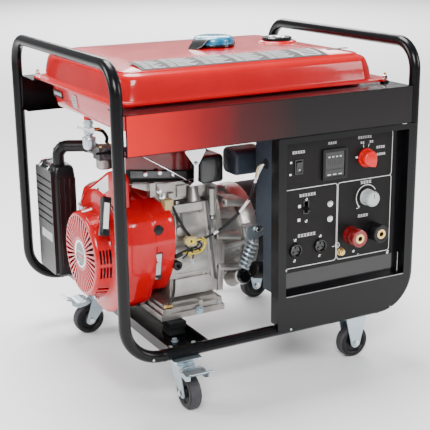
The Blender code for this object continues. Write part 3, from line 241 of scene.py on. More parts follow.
class Piece:
    """One object, put together from simple closed forms with a material each."""

    def __init__(self, name, body=M):
        self.name = name
        self.body = body
        self.bm = bmesh.new()
        self.mats = []
        self.turn = Matrix.Identity(4)

    def _mat(self, mat):
        if mat not in self.mats:
            self.mats.append(mat)
        return self.mats.index(mat)

    def _add(self, verts, faces, mat, flat=False):
        made = [self.bm.verts.new(self.turn @ Vector(v)) for v in verts]
        index = self._mat(mat)
        for face in faces:
            if len(set(face)) < 3:
                continue
            new = self.bm.faces.new([made[i] for i in face])
            new.material_index = index
            new.smooth = not flat
        return made

    def box(self, low, high, mat, place=None):
        x0, y0, z0 = low
        x1, y1, z1 = high
        verts = [(x, y, z) for x in (x0, x1) for y in (y0, y1) for z in (z0, z1)]
        if place is not None:
            verts = [place @ Vector(v) for v in verts]
        faces = [(0, 1, 3, 2), (4, 6, 7, 5), (0, 4, 5, 1), (2, 3, 7, 6), (0, 2, 6, 4), (1, 5, 7, 3)]
        self._add(verts, faces, mat)
        return self

    def lathe(self, profile, origin, axis, mat, n=48, closed=False, mats=None):
        """(radius, height) points from the top's middle, down the outside, to the foot."""
        place = Matrix.Translation(origin) @ toward(axis)
        verts, rows = [], []
        for r, h in profile:
            if r < 1e-6:
                rows.append([len(verts)] * n)
                verts.append(place @ Vector((0, 0, h)))
            else:
                rows.append(list(range(len(verts), len(verts) + n)))
                verts += [place @ Vector((r * math.cos(2 * math.pi * k / n),
                                          r * math.sin(2 * math.pi * k / n), h)) for k in range(n)]
        made = [self.bm.verts.new(self.turn @ v) for v in verts]
        last = len(rows) if closed else len(rows) - 1
        for j in range(last):
            a, b = rows[j], rows[(j + 1) % len(rows)]
            index = self._mat(mats[j] if mats else mat)
            for k in range(n):
                quad = []
                for i in (a[k], b[k], b[(k + 1) % n], a[(k + 1) % n]):
                    if not quad or (i != quad[-1] and i != quad[0]):
                        quad.append(i)
                if len(quad) > 2:
                    face = self.bm.faces.new([made[i] for i in quad])
                    face.material_index = index
                    face.smooth = True
        return self

    def rod(self, a, b, r, mat, n=20, r2=None, edge=0.0):
        a, b = Vector(a), Vector(b)
        length = (b - a).length
        r2 = r if r2 is None else r2
        if edge:
            profile = [(0, length), (r2 - edge, length), (r2, length - edge), (r, edge),
                       (r - edge, 0), (0, 0)]
        else:
            profile = [(0, length), (r2, length), (r, 0), (0, 0)]
        return self.lathe(profile, a, b - a, mat, n)

    def bolt(self, at, axis, r, mat=None, head=None, washer=True):
        """A hexagon head on a washer."""
        mat = mat or ZINC
        head = head or r * 1.1
        base = Vector(at)
        out = Vector(axis).normalized()
        if washer:
            self.rod(base, base + out * 0.0012, r * 1.35, mat, 24)
        self.lathe([(0, head), (r * 0.82, head), (r, head * 0.85), (r, 0), (0, 0)],
                   base + out * 0.001, out, mat, 6)
        return self

    def tube(self, points, r, mat, n=12, capped=True):
        pts = [Vector(p) for p in points]
        side = None
        rings = []
        for i, p in enumerate(pts):
            ahead = pts[min(i + 1, len(pts) - 1)] - pts[max(i - 1, 0)]
            ahead.normalize()
            if side is None:
                side = ahead.orthogonal().normalized()
            side = (side - ahead * side.dot(ahead)).normalized()
            up = ahead.cross(side)
            width = r[i] if isinstance(r, (list, tuple)) else r
            rings.append([p + (side * math.cos(2 * math.pi * k / n)
                               + up * math.sin(2 * math.pi * k / n)) * width for k in range(n)])
        return self.loft(rings, mat, capped)

    def loft(self, rings, mat, capped=True, mats=None):
        n = len(rings[0])
        made = [[self.bm.verts.new(self.turn @ Vector(v)) for v in ring] for ring in rings]
        for j in range(len(made) - 1):
            index = self._mat(mats[j] if mats else mat)
            for k in range(n):
                quad = [made[j][k], made[j][(k + 1) % n], made[j + 1][(k + 1) % n], made[j + 1][k]]
                face = self.bm.faces.new(quad)
                face.material_index = index
                face.smooth = True
        if capped:
            for ring, which in ((made[0], mats[0] if mats else mat),
                                (made[-1], mats[-1] if mats else mat)):
                face = self.bm.faces.new(ring)
                face.material_index = self._mat(which)
                face.smooth = True
        return self

    def prism(self, outline, low, high, axis, mat):
        """A flat outline in (Y, Z), (X, Z) or (X, Y) given thickness along X, Y or Z."""
        def put(u, v, w):
            return {"X": (w, u, v), "Y": (u, w, v), "Z": (u, v, w)}[axis]
        rings = [[put(u, v, w) for u, v in outline] for w in (low, high)]
        return self.loft(rings, mat)

    def surround(self, outer, inner, depths, mat, closed=True):
        """A frame in (X, Z): outside from its back to its front, then back inside the opening."""
        back, front, inside = depths
        rings = [[(u, y, v) for u, v in edge]
                 for edge, y in ((outer, back), (outer, front), (inner, front), (inner, inside))]
        if closed:
            rings.append(rings[0])
        return self.loft(rings, mat, capped=False)

    def done(self, replaces=(), bevel=0.0006, angle=32, slot=None, segments=2, weld=False):
        if weld:
            bmesh.ops.remove_doubles(self.bm, verts=self.bm.verts, dist=0.00002)
        bmesh.ops.recalc_face_normals(self.bm, faces=self.bm.faces)
        mesh = bpy.data.meshes.new(self.name)
        self.bm.to_mesh(mesh)
        self.bm.free()
        for mat in self.mats:
            mesh.materials.append(mat)
        mesh.set_sharp_from_angle(angle=math.radians(angle))
        made = bpy.data.objects.new(self.name, mesh)
        bpy.context.scene.collection.objects.link(made)
        if bevel:
            edge = made.modifiers.new("edge", "BEVEL")
            edge.width = bevel
            edge.segments = segments
            edge.limit_method = "ANGLE"
            edge.angle_limit = math.radians(angle)
            edge.harden_normals = True
        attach(made, self.body)
        if replaces:
            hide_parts(*replaces)
        return made


def finish_node(name, mat, bevel=0.0):
    """A CAD node kept as it is, with a better surface and softened edges."""
    node = NODES[name]
    for slot in node.material_slots:
        slot.material = mat
    if not node.material_slots:
        node.data.materials.append(mat)
    if bevel:
        edge = node.modifiers.new("edge", "BEVEL")
        edge.width = bevel
        edge.segments = 2
        edge.limit_method = "ANGLE"
        edge.angle_limit = math.radians(35)


def at_shaft(x, y, z):
    """A point whose Y is measured from the shaft."""
    return Vector((x, EY + y, z))


def pierced_sheet(name, profile, place, columns, is_open, mat):
    """A turned sheet, with the faces left out where is_open(row, column) says so."""
    bm = bmesh.new()
    grid = []
    for r, h in profile:
        row = []
        for k in range(columns):
            t = 2 * math.pi * k / columns
            row.append(bm.verts.new(place @ Vector((r * math.cos(t), r * math.sin(t), h))))
        grid.append(row)
    for j in range(len(profile) - 1):
        for k in range(columns):
            if not is_open(j, k):
                after = (k + 1) % columns
                face = bm.faces.new((grid[j][k], grid[j + 1][k], grid[j + 1][after],
                                     grid[j][after]))
                face.smooth = True
    bmesh.ops.recalc_face_normals(bm, faces=bm.faces)
    mesh = bpy.data.meshes.new(name)
    bm.to_mesh(mesh)
    bm.free()
    mesh.materials.append(mat)
    made = bpy.data.objects.new(name, mesh)
    bpy.context.scene.collection.objects.link(made)
    return made


# ------------------------------------------------------------------ tube frame


def hoops():
    front, rear, low, top = FRONT_Y, REAR_Y, RAIL_Z, TOP_Z
    for name, side in (("left_hoop", -1), ("right_hoop", 1)):
        x = side * 0.355
        stub = side * 0.27
        corners = [(stub, front, low), (x, front, low), (x, front, top), (x, rear, top),
                   (x, rear, low), (stub, rear, low)]
        path = [Vector(corners[0])]
        for i, radius in enumerate((0.08, 0.06, 0.06, 0.08)):
            path += fillet(*corners[i : i + 3], radius, 14)
        path.append(Vector(corners[-1]))
        piece = Piece(f"{name}_tube")
        piece.tube(path, TUBE_R, BLACK, 32)
        piece.done([name], bevel=0, slot="black_powder_coat")


def frame_detail():
    hoops()
    finish_node("base_frame", BLACK, 0.0012)
    finish_node("front_channel", BLACK, 0.0016)
    finish_node("rear_channel", BLACK, 0.0016)
    # a red reflection painted on the front channel's face, fading to black towards +X
    red_reflection = Piece("channel_painted_red_reflection")
    red_reflection.box((-0.3405, -0.27905, 0.5505), (0.3405, -0.2787, 0.6295), PAINTED_RED_REFLECTION)
    red_reflection.done(bevel=0)
    seams = Piece("frame_fixings")
    for y in (FRONT_Y, REAR_Y):
        for x in (-0.27, 0.27):
            seams.lathe([(0.0126, 0.003), (0.0133, 0.0015), (0.0133, -0.0015), (0.0126, -0.003)],
                        (x, y, RAIL_Z), (1, 0, 0), BLACK, 32, closed=True)
    for x in (-0.208, 0.225):
        for y in (-0.19, 0.215):
            seams.bolt((x, y, 0.1122), (0, 0, 1), 0.0058)
            seams.bolt((x, y, 0.109), (0, 0, -1), 0.0058)
    for x in (-0.235, -0.18):
        seams.bolt((x, -0.225, 0.1122), (0, 0, 1), 0.0055)
    for x in (0.03, 0.3, -0.3):
        seams.bolt((x, -0.279, 0.1235), (0, -1, 0), 0.0028, washer=False)
    # washers and bolts that hold the tank's seam to the channels
    for x in (-0.325, 0.32):
        for y, z in ((-0.206, 0.6312), (0.272, 0.6312)):
            seams.rod((x, y, z - 0.0002), (x, y, 0.6352), 0.01, RUBBER, 24)
            seams.bolt((x, y, 0.6397), (0, 0, 1), 0.006, CHROME)
            seams.rod((x, y, 0.64), (x, y, 0.653), 0.003, BRASS, 12)
    seams.done(bevel=0.0003)


# ------------------------------------------------------------------ casters


def wheel(tag, centre, across, body):
    c = Vector(centre)
    piece = Piece(f"caster_{tag}_tyre", body)
    side = [(0.0245, 0.0122), (0.0262, 0.0132), (0.032, 0.0132), (0.0338, 0.0125)]
    profile = list(side)
    profile += [(0.0345, 0.0118), (0.0358, 0.0108), (0.0371, 0.0085), (0.0375, 0.006),
                (0.0375, -0.006), (0.0371, -0.0085), (0.0358, -0.0108), (0.0345, -0.0118)]
    profile += [(r, -h) for r, h in reversed(side)]
    profile += [(0.0225, -0.0085), (0.013, -0.008), (0.012, -0.0128), (0.0045, -0.0128),
                (0.0045, 0.0128), (0.012, 0.0128), (0.013, 0.008), (0.0225, 0.0085)]
    mats = ([PLASTIC] * 4 + [TREAD] * 7 + [PLASTIC] * 7 + [RUBBER] + [STEEL] * 3 + [RUBBER]
            + [PLASTIC])
    piece.lathe(profile, c, across, PLASTIC, 64, closed=True, mats=mats)
    for k in range(8):
        spin = Matrix.Rotation(2 * math.pi * k / 8, 4, "Z")
        for s in (-1, 1):
            rib = toward(across) @ spin
            place = Matrix.Translation(c) @ rib
            piece.box((0.0128, -0.001, s * 0.0078 - 0.0012), (0.0226, 0.001, s * 0.0078 + 0.0012),
                      PLASTIC, place)
    piece.done([f"caster_{tag}_wheel"], bevel=0.0003, slot="wheel_rubber")


def fork_shape(piece, place, trail, top, rigid=False):
    """Two pressed legs round a wheel, with a washer and a bolt on each leg and an axle between them."""
    inner, thick = 0.0153, 0.0028
    turns = [math.radians(196 + 148 * i / 9) for i in range(10)]
    foot = [(trail + 0.0125 * math.cos(t), 0.0375 + 0.0125 * math.sin(t)) for t in turns]
    back, ahead = (-0.021, 0.027) if not rigid else (-0.027, 0.027)
    outline = [(ahead, top - 0.012), (ahead - 0.006, top), (back + 0.004, top), (back, top - 0.01),
               *foot]
    for s in (-1, 1):
        rings = []
        for w in (inner, inner + thick):
            rings.append([place @ Vector((s * w, -u, z)) for u, z in outline])
        piece.loft(rings, ZINC)
        hub = place @ Vector((s * (inner + thick), -trail, 0.0375))
        tip = place @ Vector((s * (inner + thick + 1), -trail, 0.0375))
        out = (tip - hub).normalized()
        piece.rod(hub, hub + out * 0.0014, 0.0095, ZINC, 28)
        piece.bolt(hub + out * 0.001, out, 0.0068, CHROME, head=0.0046, washer=False)
    ends = [place @ Vector((s * (inner + thick), -trail, 0.0375)) for s in (-1, 1)]
    piece.rod(*ends, 0.004, STEEL, 24)


def casters():
    tops = ((0, "fl", (-0.222, -0.25375)), (-90, "rl", (-0.222, 0.20825)))
    for heading, tag, (x, y) in tops:
        angle = math.radians(heading)
        place = Matrix.Translation((x, y, 0)) @ Matrix.Rotation(angle, 4, "Z")
        swivel, brake = f"{tag}_swivel", f"{tag}_brake"
        fork = Piece(f"caster_{tag}_fork_pressing", swivel)
        fork_shape(fork, place, 0.03, 0.0925)
        fork.prism([(place @ Vector((u, v, 0)))[:2] for u, v in
                    rect(-0.0181, -0.028, 0.0181, 0.021, 0.006)], 0.0905, 0.0935, "Z", ZINC)
        fork.lathe([(0.008, 0.0994), (0.0215, 0.0994), (0.0238, 0.0985), (0.0245, 0.0965),
                    (0.0235, 0.0935), (0.008, 0.0935)], (x, y, 0), (0, 0, 1), ZINC, 48, closed=True)
        fork.lathe([(0, 0.0905), (0.009, 0.0905), (0.008, 0.0885), (0, 0.088)], (x, y, 0),
                   (0, 0, 1), STEEL, 6)
        fork.done([f"caster_{tag}_fork"], bevel=0.0005, slot="zinc")
        plate = Piece(f"caster_{tag}_top_plate")
        plate.prism(rect(x - 0.032, y - 0.032, x + 0.032, y + 0.032, 0.005), 0.1059, 0.1089, "Z",
                    ZINC)
        plate.lathe([(0.01, 0.1062), (0.0235, 0.1062), (0.022, 0.1035), (0.0195, 0.1002),
                     (0.01, 0.1002)], (x, y, 0), (0, 0, 1), ZINC, 48, closed=True)
        for u in (-0.025, 0.025):
            for v in (-0.025, 0.025):
                plate.bolt((x + u, y + v, 0.1059), (0, 0, -1), 0.005, CHROME, head=0.0035)
        plate.done([f"caster_{tag}_plate"], bevel=0.0004, slot="zinc")
        lever = Piece(f"caster_{tag}_brake_pedal", brake)
        section = [(0.0325, 0.0868), (0.0375, 0.0905), (0.045, 0.0925), (0.052, 0.0918),
                   (0.06, 0.089), (0.068, 0.088), (0.078, 0.0925), (0.085, 0.1),
                   (0.089, 0.1022), (0.0922, 0.1018)]
        rings = []
        for u, z in section:
            ahead = 0.025 if u > 0.05 else 0.0215
            rings.append([place @ Vector(v) for v in ((-ahead, -u, z), (ahead, -u, z),
                                                      (ahead, -u, z + 0.0022), (-ahead, -u, z + 0.0022))])
        lever.loft(rings, ZINC)
        for s in (-1, 1):
            cheek = [(0.03, 0.085), (0.042, 0.09), (0.06, 0.087), (0.08, 0.094),
                     (0.078, 0.084), (0.06, 0.076), (0.042, 0.08)]
            rings = [[place @ Vector((s * w, -u, z)) for u, z in cheek] for w in (0.0205, 0.0228)]
            lever.loft(rings, ZINC)
        ends = [place @ Vector((s * 0.024, -0.034, 0.089)) for s in (-1, 1)]
        lever.rod(*ends, 0.0028, STEEL, 16)
        lever.done([f"caster_{tag}_pedal"], bevel=0.0004, slot="zinc")
        centre = place @ Vector((0, -0.03, 0.0375))
        wheel(tag, centre, (math.cos(angle), math.sin(angle), 0), f"{tag}_wheel")
    for tag, (x, y) in (("fr", (0.23, -0.23075)), ("rr", (0.23, 0.21925))):
        place = Matrix.Translation((x, y, 0)) @ Matrix.Rotation(math.radians(90), 4, "Z")
        fork = Piece(f"caster_{tag}_fork_pressing")
        fork_shape(fork, place, 0.0, 0.1065, rigid=True)
        fork.prism(rect(x - 0.036, y - 0.032, x + 0.036, y + 0.032, 0.005), 0.1059, 0.1089, "Z",
                   ZINC)
        fork.done([f"caster_{tag}_fork"], bevel=0.0005, slot="zinc")
        wheel(tag, (x, y, 0.0375), (0, 1, 0), f"{tag}_wheel")


# ------------------------------------------------------------------ fuel tank


def tank_ring(x0, x1, y0, y1, r, z, steps=8):
    return [(u, v, z) for u, v in rect(x0, y0, x1, y1, r, steps)]


def tank():
    upper = Piece("tank_top_skin")
    rows = [
        (0.021, 0.01, 0.03, 0.6376), (0.021, 0.01, 0.03, 0.6398),
        (0.004, 0.003, 0.036, 0.6402), (0.0012, 0.0008, 0.039, 0.6418), (0.0, 0.0, 0.04, 0.645),
        (-0.0035, -0.0012, 0.04, 0.664), (-0.008, -0.0036, 0.04, 0.677),
        (-0.0105, -0.0052, 0.04, 0.683), (-0.014, -0.0085, 0.038, 0.688),
        (-0.019, -0.013, 0.036, 0.6915), (-0.025, -0.018, 0.034, 0.6932),
        (-0.0275, -0.02, 0.033, 0.6945), (-0.029, -0.0215, 0.032, 0.6968),
        (-0.033, -0.025, 0.03, 0.6985), (-0.06, -0.052, 0.022, 0.704),
        (-0.09, -0.09, 0.02, 0.7068), (-0.15, -0.15, 0.016, 0.708),
    ]
    rings = []
    for dx, dy, r, z in rows:
        left = -0.317 - (0.021 if dx > 0.02 else dx * (0.5 if dx < 0 else 1))
        right = 0.3 + (0.034 if dx > 0.02 else dx)
        if dx < -0.03:
            left = -0.317 - dx
        elif dx < 0:
            left = -0.317 - dx * 0.6
        rings.append(tank_ring(left, right, -0.206 - dy, 0.274 + dy, max(r, 0.004), z))
    upper.loft(rings, RED)
    neck = Vector(FILLER)
    upper.lathe([(0.0265, 0.7172), (0.0295, 0.7172), (0.03, 0.7165), (0.03, 0.709),
                 (0.034, 0.7075), (0.034, 0.704), (0.0265, 0.704)], neck, (0, 0, 1), RED, 48,
                closed=True)
    # dark disc inside the neck: painted shade for the tank's open inside
    upper.lathe([(0, 0.71), (0.0266, 0.71), (0.0266, 0.706), (0, 0.706)], neck, (0, 0, 1),
                PAINTED_SHADE_BLACK, 32)
    upper.lathe([(0, 0.7112), (0.04, 0.7112), (0.0445, 0.7095), (0.046, 0.707), (0, 0.705)],
                GAUGE, (0, 0, 1), RED, 48)
    upper.done(["tank_upper_shell"], bevel=0, angle=50, slot="red_paint")

    lower = Piece("tank_bottom_skin")
    rows = [(0.027, 0.016, 0.6372), (0.027, 0.016, 0.6352), (0.0, 0.044, 0.6345),
            (-0.001, 0.045, 0.63), (-0.0035, 0.046, 0.605), (-0.0065, 0.046, 0.588),
            (-0.0085, 0.044, 0.58), (-0.012, 0.042, 0.5752), (-0.019, 0.038, 0.5722),
            (-0.04, 0.03, 0.5695), (-0.12, 0.02, 0.5675)]
    rings = []
    for d, r, z in rows:
        if d > 0.02:
            ring = tank_ring(-0.3378, 0.3338, -0.2158, 0.2838, 0.03, z)
        else:
            ring = tank_ring(-0.3135 - d, 0.2965 + d, -0.178 - d, 0.246 + d, r, z)
        rings.append(ring)
    lower.loft(rings, RED)
    lower.rod((-0.292, 0.045, 0.5671), (-0.292, 0.045, 0.58), 0.01, RED, 24)
    lower.done(["tank_lower_shell"], bevel=0, angle=50, slot="red_paint")

    seam = Piece("tank_seam_lip")
    outer = (-0.3384, 0.3344, -0.2164, 0.2844, 0.0305)
    inner = (-0.3355, 0.3315, -0.2135, 0.2815, 0.028)
    foot, brim = 0.6352, 0.6398
    rings = [tank_ring(*side, z) for side, z in ((outer, foot), (outer, brim), (inner, brim),
                                                 (inner, foot), (outer, foot))]
    seam.loft(rings, RED, capped=False)
    seam.done(bevel=0.0004, weld=True, slot="red_paint")

    # the tank's strip: generic blocks and rules, no words
    strip = Piece("tank_strip")

    def on_top(y):
        """The height of the tank's skin near its front shoulder."""
        back = y + 0.206
        rise = [(0.013, 0.6915), (0.018, 0.6932), (0.0215, 0.6968), (0.025, 0.6985),
                (0.052, 0.704), (0.09, 0.7068), (0.15, 0.708)]
        z = rise[-1][1]
        for (a, za), (b, zb) in zip(rise, rise[1:]):
            if a <= back <= b:
                z = za + (zb - za) * (back - a) / (b - a)
        return z

    def patch(x0, x1, y0, y1, mat, lift, skew=0.0, n=4):
        grid = []
        for j in range(n + 1):
            y = y0 + (y1 - y0) * j / n
            z = on_top(y) + lift
            grid.append([(x0 + skew * j / n, y, z), (x1 + skew * j / n, y, z)])
        for a, b in zip(grid, grid[1:]):
            strip._add([*a, *reversed(b)], [(0, 1, 2, 3)], mat)
    patch(-0.262, 0.185, -0.182, -0.112, STRIP, 0.0007, n=36)
    for i, (x0, x1) in enumerate(((-0.252, -0.205), (-0.196, -0.125), (-0.116, -0.05),
                                  (-0.041, 0.03), (0.039, 0.105))):
        for row in range(9):
            y = -0.176 + row * 0.0068
            cut = (0.0, 0.012, 0.004, 0.018, 0.008)[(row + i) % 5]
            for a, b in ((x0, x0 + 0.016), (x0 + 0.019, x1 - cut)):
                patch(a, b, y, y + 0.003, LABEL, 0.0013, n=2)
    patch(0.122, 0.17, -0.176, -0.118, LABEL, 0.0013, n=24)
    for row in range(5):
        patch(0.128, 0.164, -0.171 + row * 0.011, -0.166 + row * 0.011, STRIP, 0.0018, n=2)
    patch(0.205, 0.262, -0.15, -0.137, STRIP, 0.0006, n=2)
    strip.done(bevel=0)

    cap = Piece("fuel_cap_shell", "cap")
    profile = [(0, 0.733), (0.02, 0.733), (0.034, 0.7322), (0.0415, 0.73), (0.0452, 0.7262),
               (0.0462, 0.722), (0.0462, 0.715), (0.0478, 0.7135), (0.0478, 0.7094),
               (0.0312, 0.7094), (0.0312, 0.7182), (0, 0.7182)]
    mats = [CYAN] * 6 + [SHINE] * 6
    cap.lathe(profile, FILLER, (0, 0, 1), SHINE, 64, mats=mats)
    for k in range(24):
        t = 2 * math.pi * k / 24
        place = Matrix.Translation(FILLER) @ Matrix.Rotation(t, 4, "Z")
        cap.box((0.0445, -0.0022, 0.714), (0.0474, 0.0022, 0.7235), CYAN, place)
    cap.done(["fuel_cap"], bevel=0.0006, slot="blue_film")
    wings = Piece("fuel_cap_wings", "cap")
    for turn_deg, long in ((205, 0.03), (25, 0.02)):
        place = Matrix.Translation(FILLER) @ Matrix.Rotation(math.radians(turn_deg), 4, "Z")
        rings = []
        for u, half, z, thick in ((0.03, 0.02, 0.73, 0.0025), (0.048, 0.02, 0.7265, 0.003),
                                  (0.048 + long * 0.6, 0.017, 0.715, 0.003),
                                  (0.048 + long, 0.012, 0.7096, 0.0022)):
            rings.append([place @ Vector(v) for v in ((u, -half, z - thick), (u, half, z - thick),
                                                      (u, half, z), (u, -half, z))])
        wings.loft(rings, SHINE)
    wings.done(bevel=0.0008)

    gauge = Piece("fuel_gauge_face")
    gauge.lathe([(0, 0.7172), (0.0155, 0.7172), (0.0165, 0.718), (0.028, 0.7196),
                 (0.033, 0.7192), (0.0352, 0.717), (0.0355, 0.7116), (0, 0.7116)], GAUGE,
                (0, 0, 1), SHINE, 48, mats=[GLASS, CHROME] + [SHINE] * 6)
    gauge.box((0.1795, 0.033, 0.7173), (0.1985, 0.0346, 0.7177), REDPL)
    for k in range(5):
        t = math.radians(-50 + 25 * k)
        place = Matrix.Translation(GAUGE) @ Matrix.Rotation(t, 4, "Z")
        gauge.box((0.011, -0.0006, 0.7172), (0.0142, 0.0006, 0.7176), WHITE, place)
    gauge.done(["fuel_gauge"], bevel=0.0003, slot="black_plastic")

    sides = Piece("tank_side_labels")
    place = Matrix.Translation((-0.311, 0, 0.605)) @ Matrix.Rotation(math.radians(-5), 4, "Y")
    sides.box((-0.001, 0.06, -0.015), (0.0022, 0.084, 0.013), LABEL, place)
    sides.box((-0.001, 0.15, -0.006), (0.0022, 0.206, 0.01), STRIP, place)
    for k in range(4):
        sides.box((-0.0012, 0.063, -0.011 + k * 0.006), (0.0, 0.081, -0.0095 + k * 0.006), STRIP,
                  place)
        sides.box((-0.0012, 0.154 + k * 0.012, -0.001), (0.0, 0.162 + k * 0.012, 0.006), LABEL,
                  place)
    sides.done(bevel=0)

    valve = Piece("fuel_valve_casting")
    x, y, top = -0.292, 0.045, 0.5666
    valve.lathe([(0, 0.0), (0.0085, 0.0), (0.0085, -0.004), (0.011, -0.004), (0.011, -0.01),
                 (0.0085, -0.011), (0.0085, -0.015), (0.0115, -0.017), (0.0115, -0.031),
                 (0.008, -0.035), (0.008, -0.0375), (0.014, -0.039), (0.0152, -0.041),
                 (0.0152, -0.044), (0.0138, -0.046), (0.0138, -0.06), (0.011, -0.0655),
                 (0, -0.0658)], (x, y, top), (0, 0, 1), ZINC, 32)
    valve.rod((x, y, top - 0.022), (x + 0.026, y, top - 0.024), 0.0042, BRASS, 16)
    valve.rod((x, y - 0.01, top - 0.022), (x, y - 0.0122, top - 0.022), 0.0085, ZINC, 24)
    for k in range(12):
        t = 2 * math.pi * k / 12
        valve.rod((x + 0.0136 * math.cos(t), y + 0.0136 * math.sin(t), top - 0.058),
                  (x + 0.0136 * math.cos(t), y + 0.0136 * math.sin(t), top - 0.046), 0.0011, ZINC, 6)
    valve.done(["fuel_valve"], bevel=0.0003, slot="zinc")
    finish_node("fuel_valve_lever", CHROME, 0.0006)
    hose = Piece("fuel_hose")
    hose.tube(smooth_path([(x + 0.02, y, top - 0.024), (x + 0.034, y + 0.002, top - 0.03),
                           (x + 0.046, y + 0.01, top - 0.046), (-0.242, 0.068, 0.507)]), 0.004,
              WIRE, 12)
    hose.done(bevel=0)


# ------------------------------------------------------------------ control box

FACE = -0.25825  # the control panel's front


class Print(Piece):
    """Thin marks on the control panel."""

    def line(self, points, width=0.0012):
        pts = [Vector(p) for p in points]
        left, right = [], []
        for i, p in enumerate(pts):
            ahead = (pts[min(i + 1, len(pts) - 1)] - pts[max(i - 1, 0)]).normalized()
            off = Vector((-ahead.y, ahead.x)) * width / 2
            left.append(p + off)
            right.append(p - off)
        for i in range(len(pts) - 1):
            quad = (left[i], left[i + 1], right[i + 1], right[i])
            self._add([(q.x, FACE - 0.00035, q.y) for q in quad], [(0, 1, 2, 3)], WHITE, True)

    def bar(self, x0, z0, x1, z1, mat=None):
        self._add([(x0, FACE - 0.00035, z0), (x1, FACE - 0.00035, z0), (x1, FACE - 0.00035, z1),
                   (x0, FACE - 0.00035, z1)], [(0, 1, 2, 3)], mat or WHITE, True)

    def words(self, x, z, count, size):
        """A row of plain square marks where the real panel has a caption."""
        for k in range(count):
            u = x + k * size * 1.18
            self.bar(u, z, u + size, z + size * 0.16)
            self.bar(u, z + size * 0.42, u + size * 0.9, z + size * 0.56)
            self.bar(u, z + size * 0.84, u + size, z + size)
            self.bar(u + size * 0.42, z, u + size * 0.58, z + size)


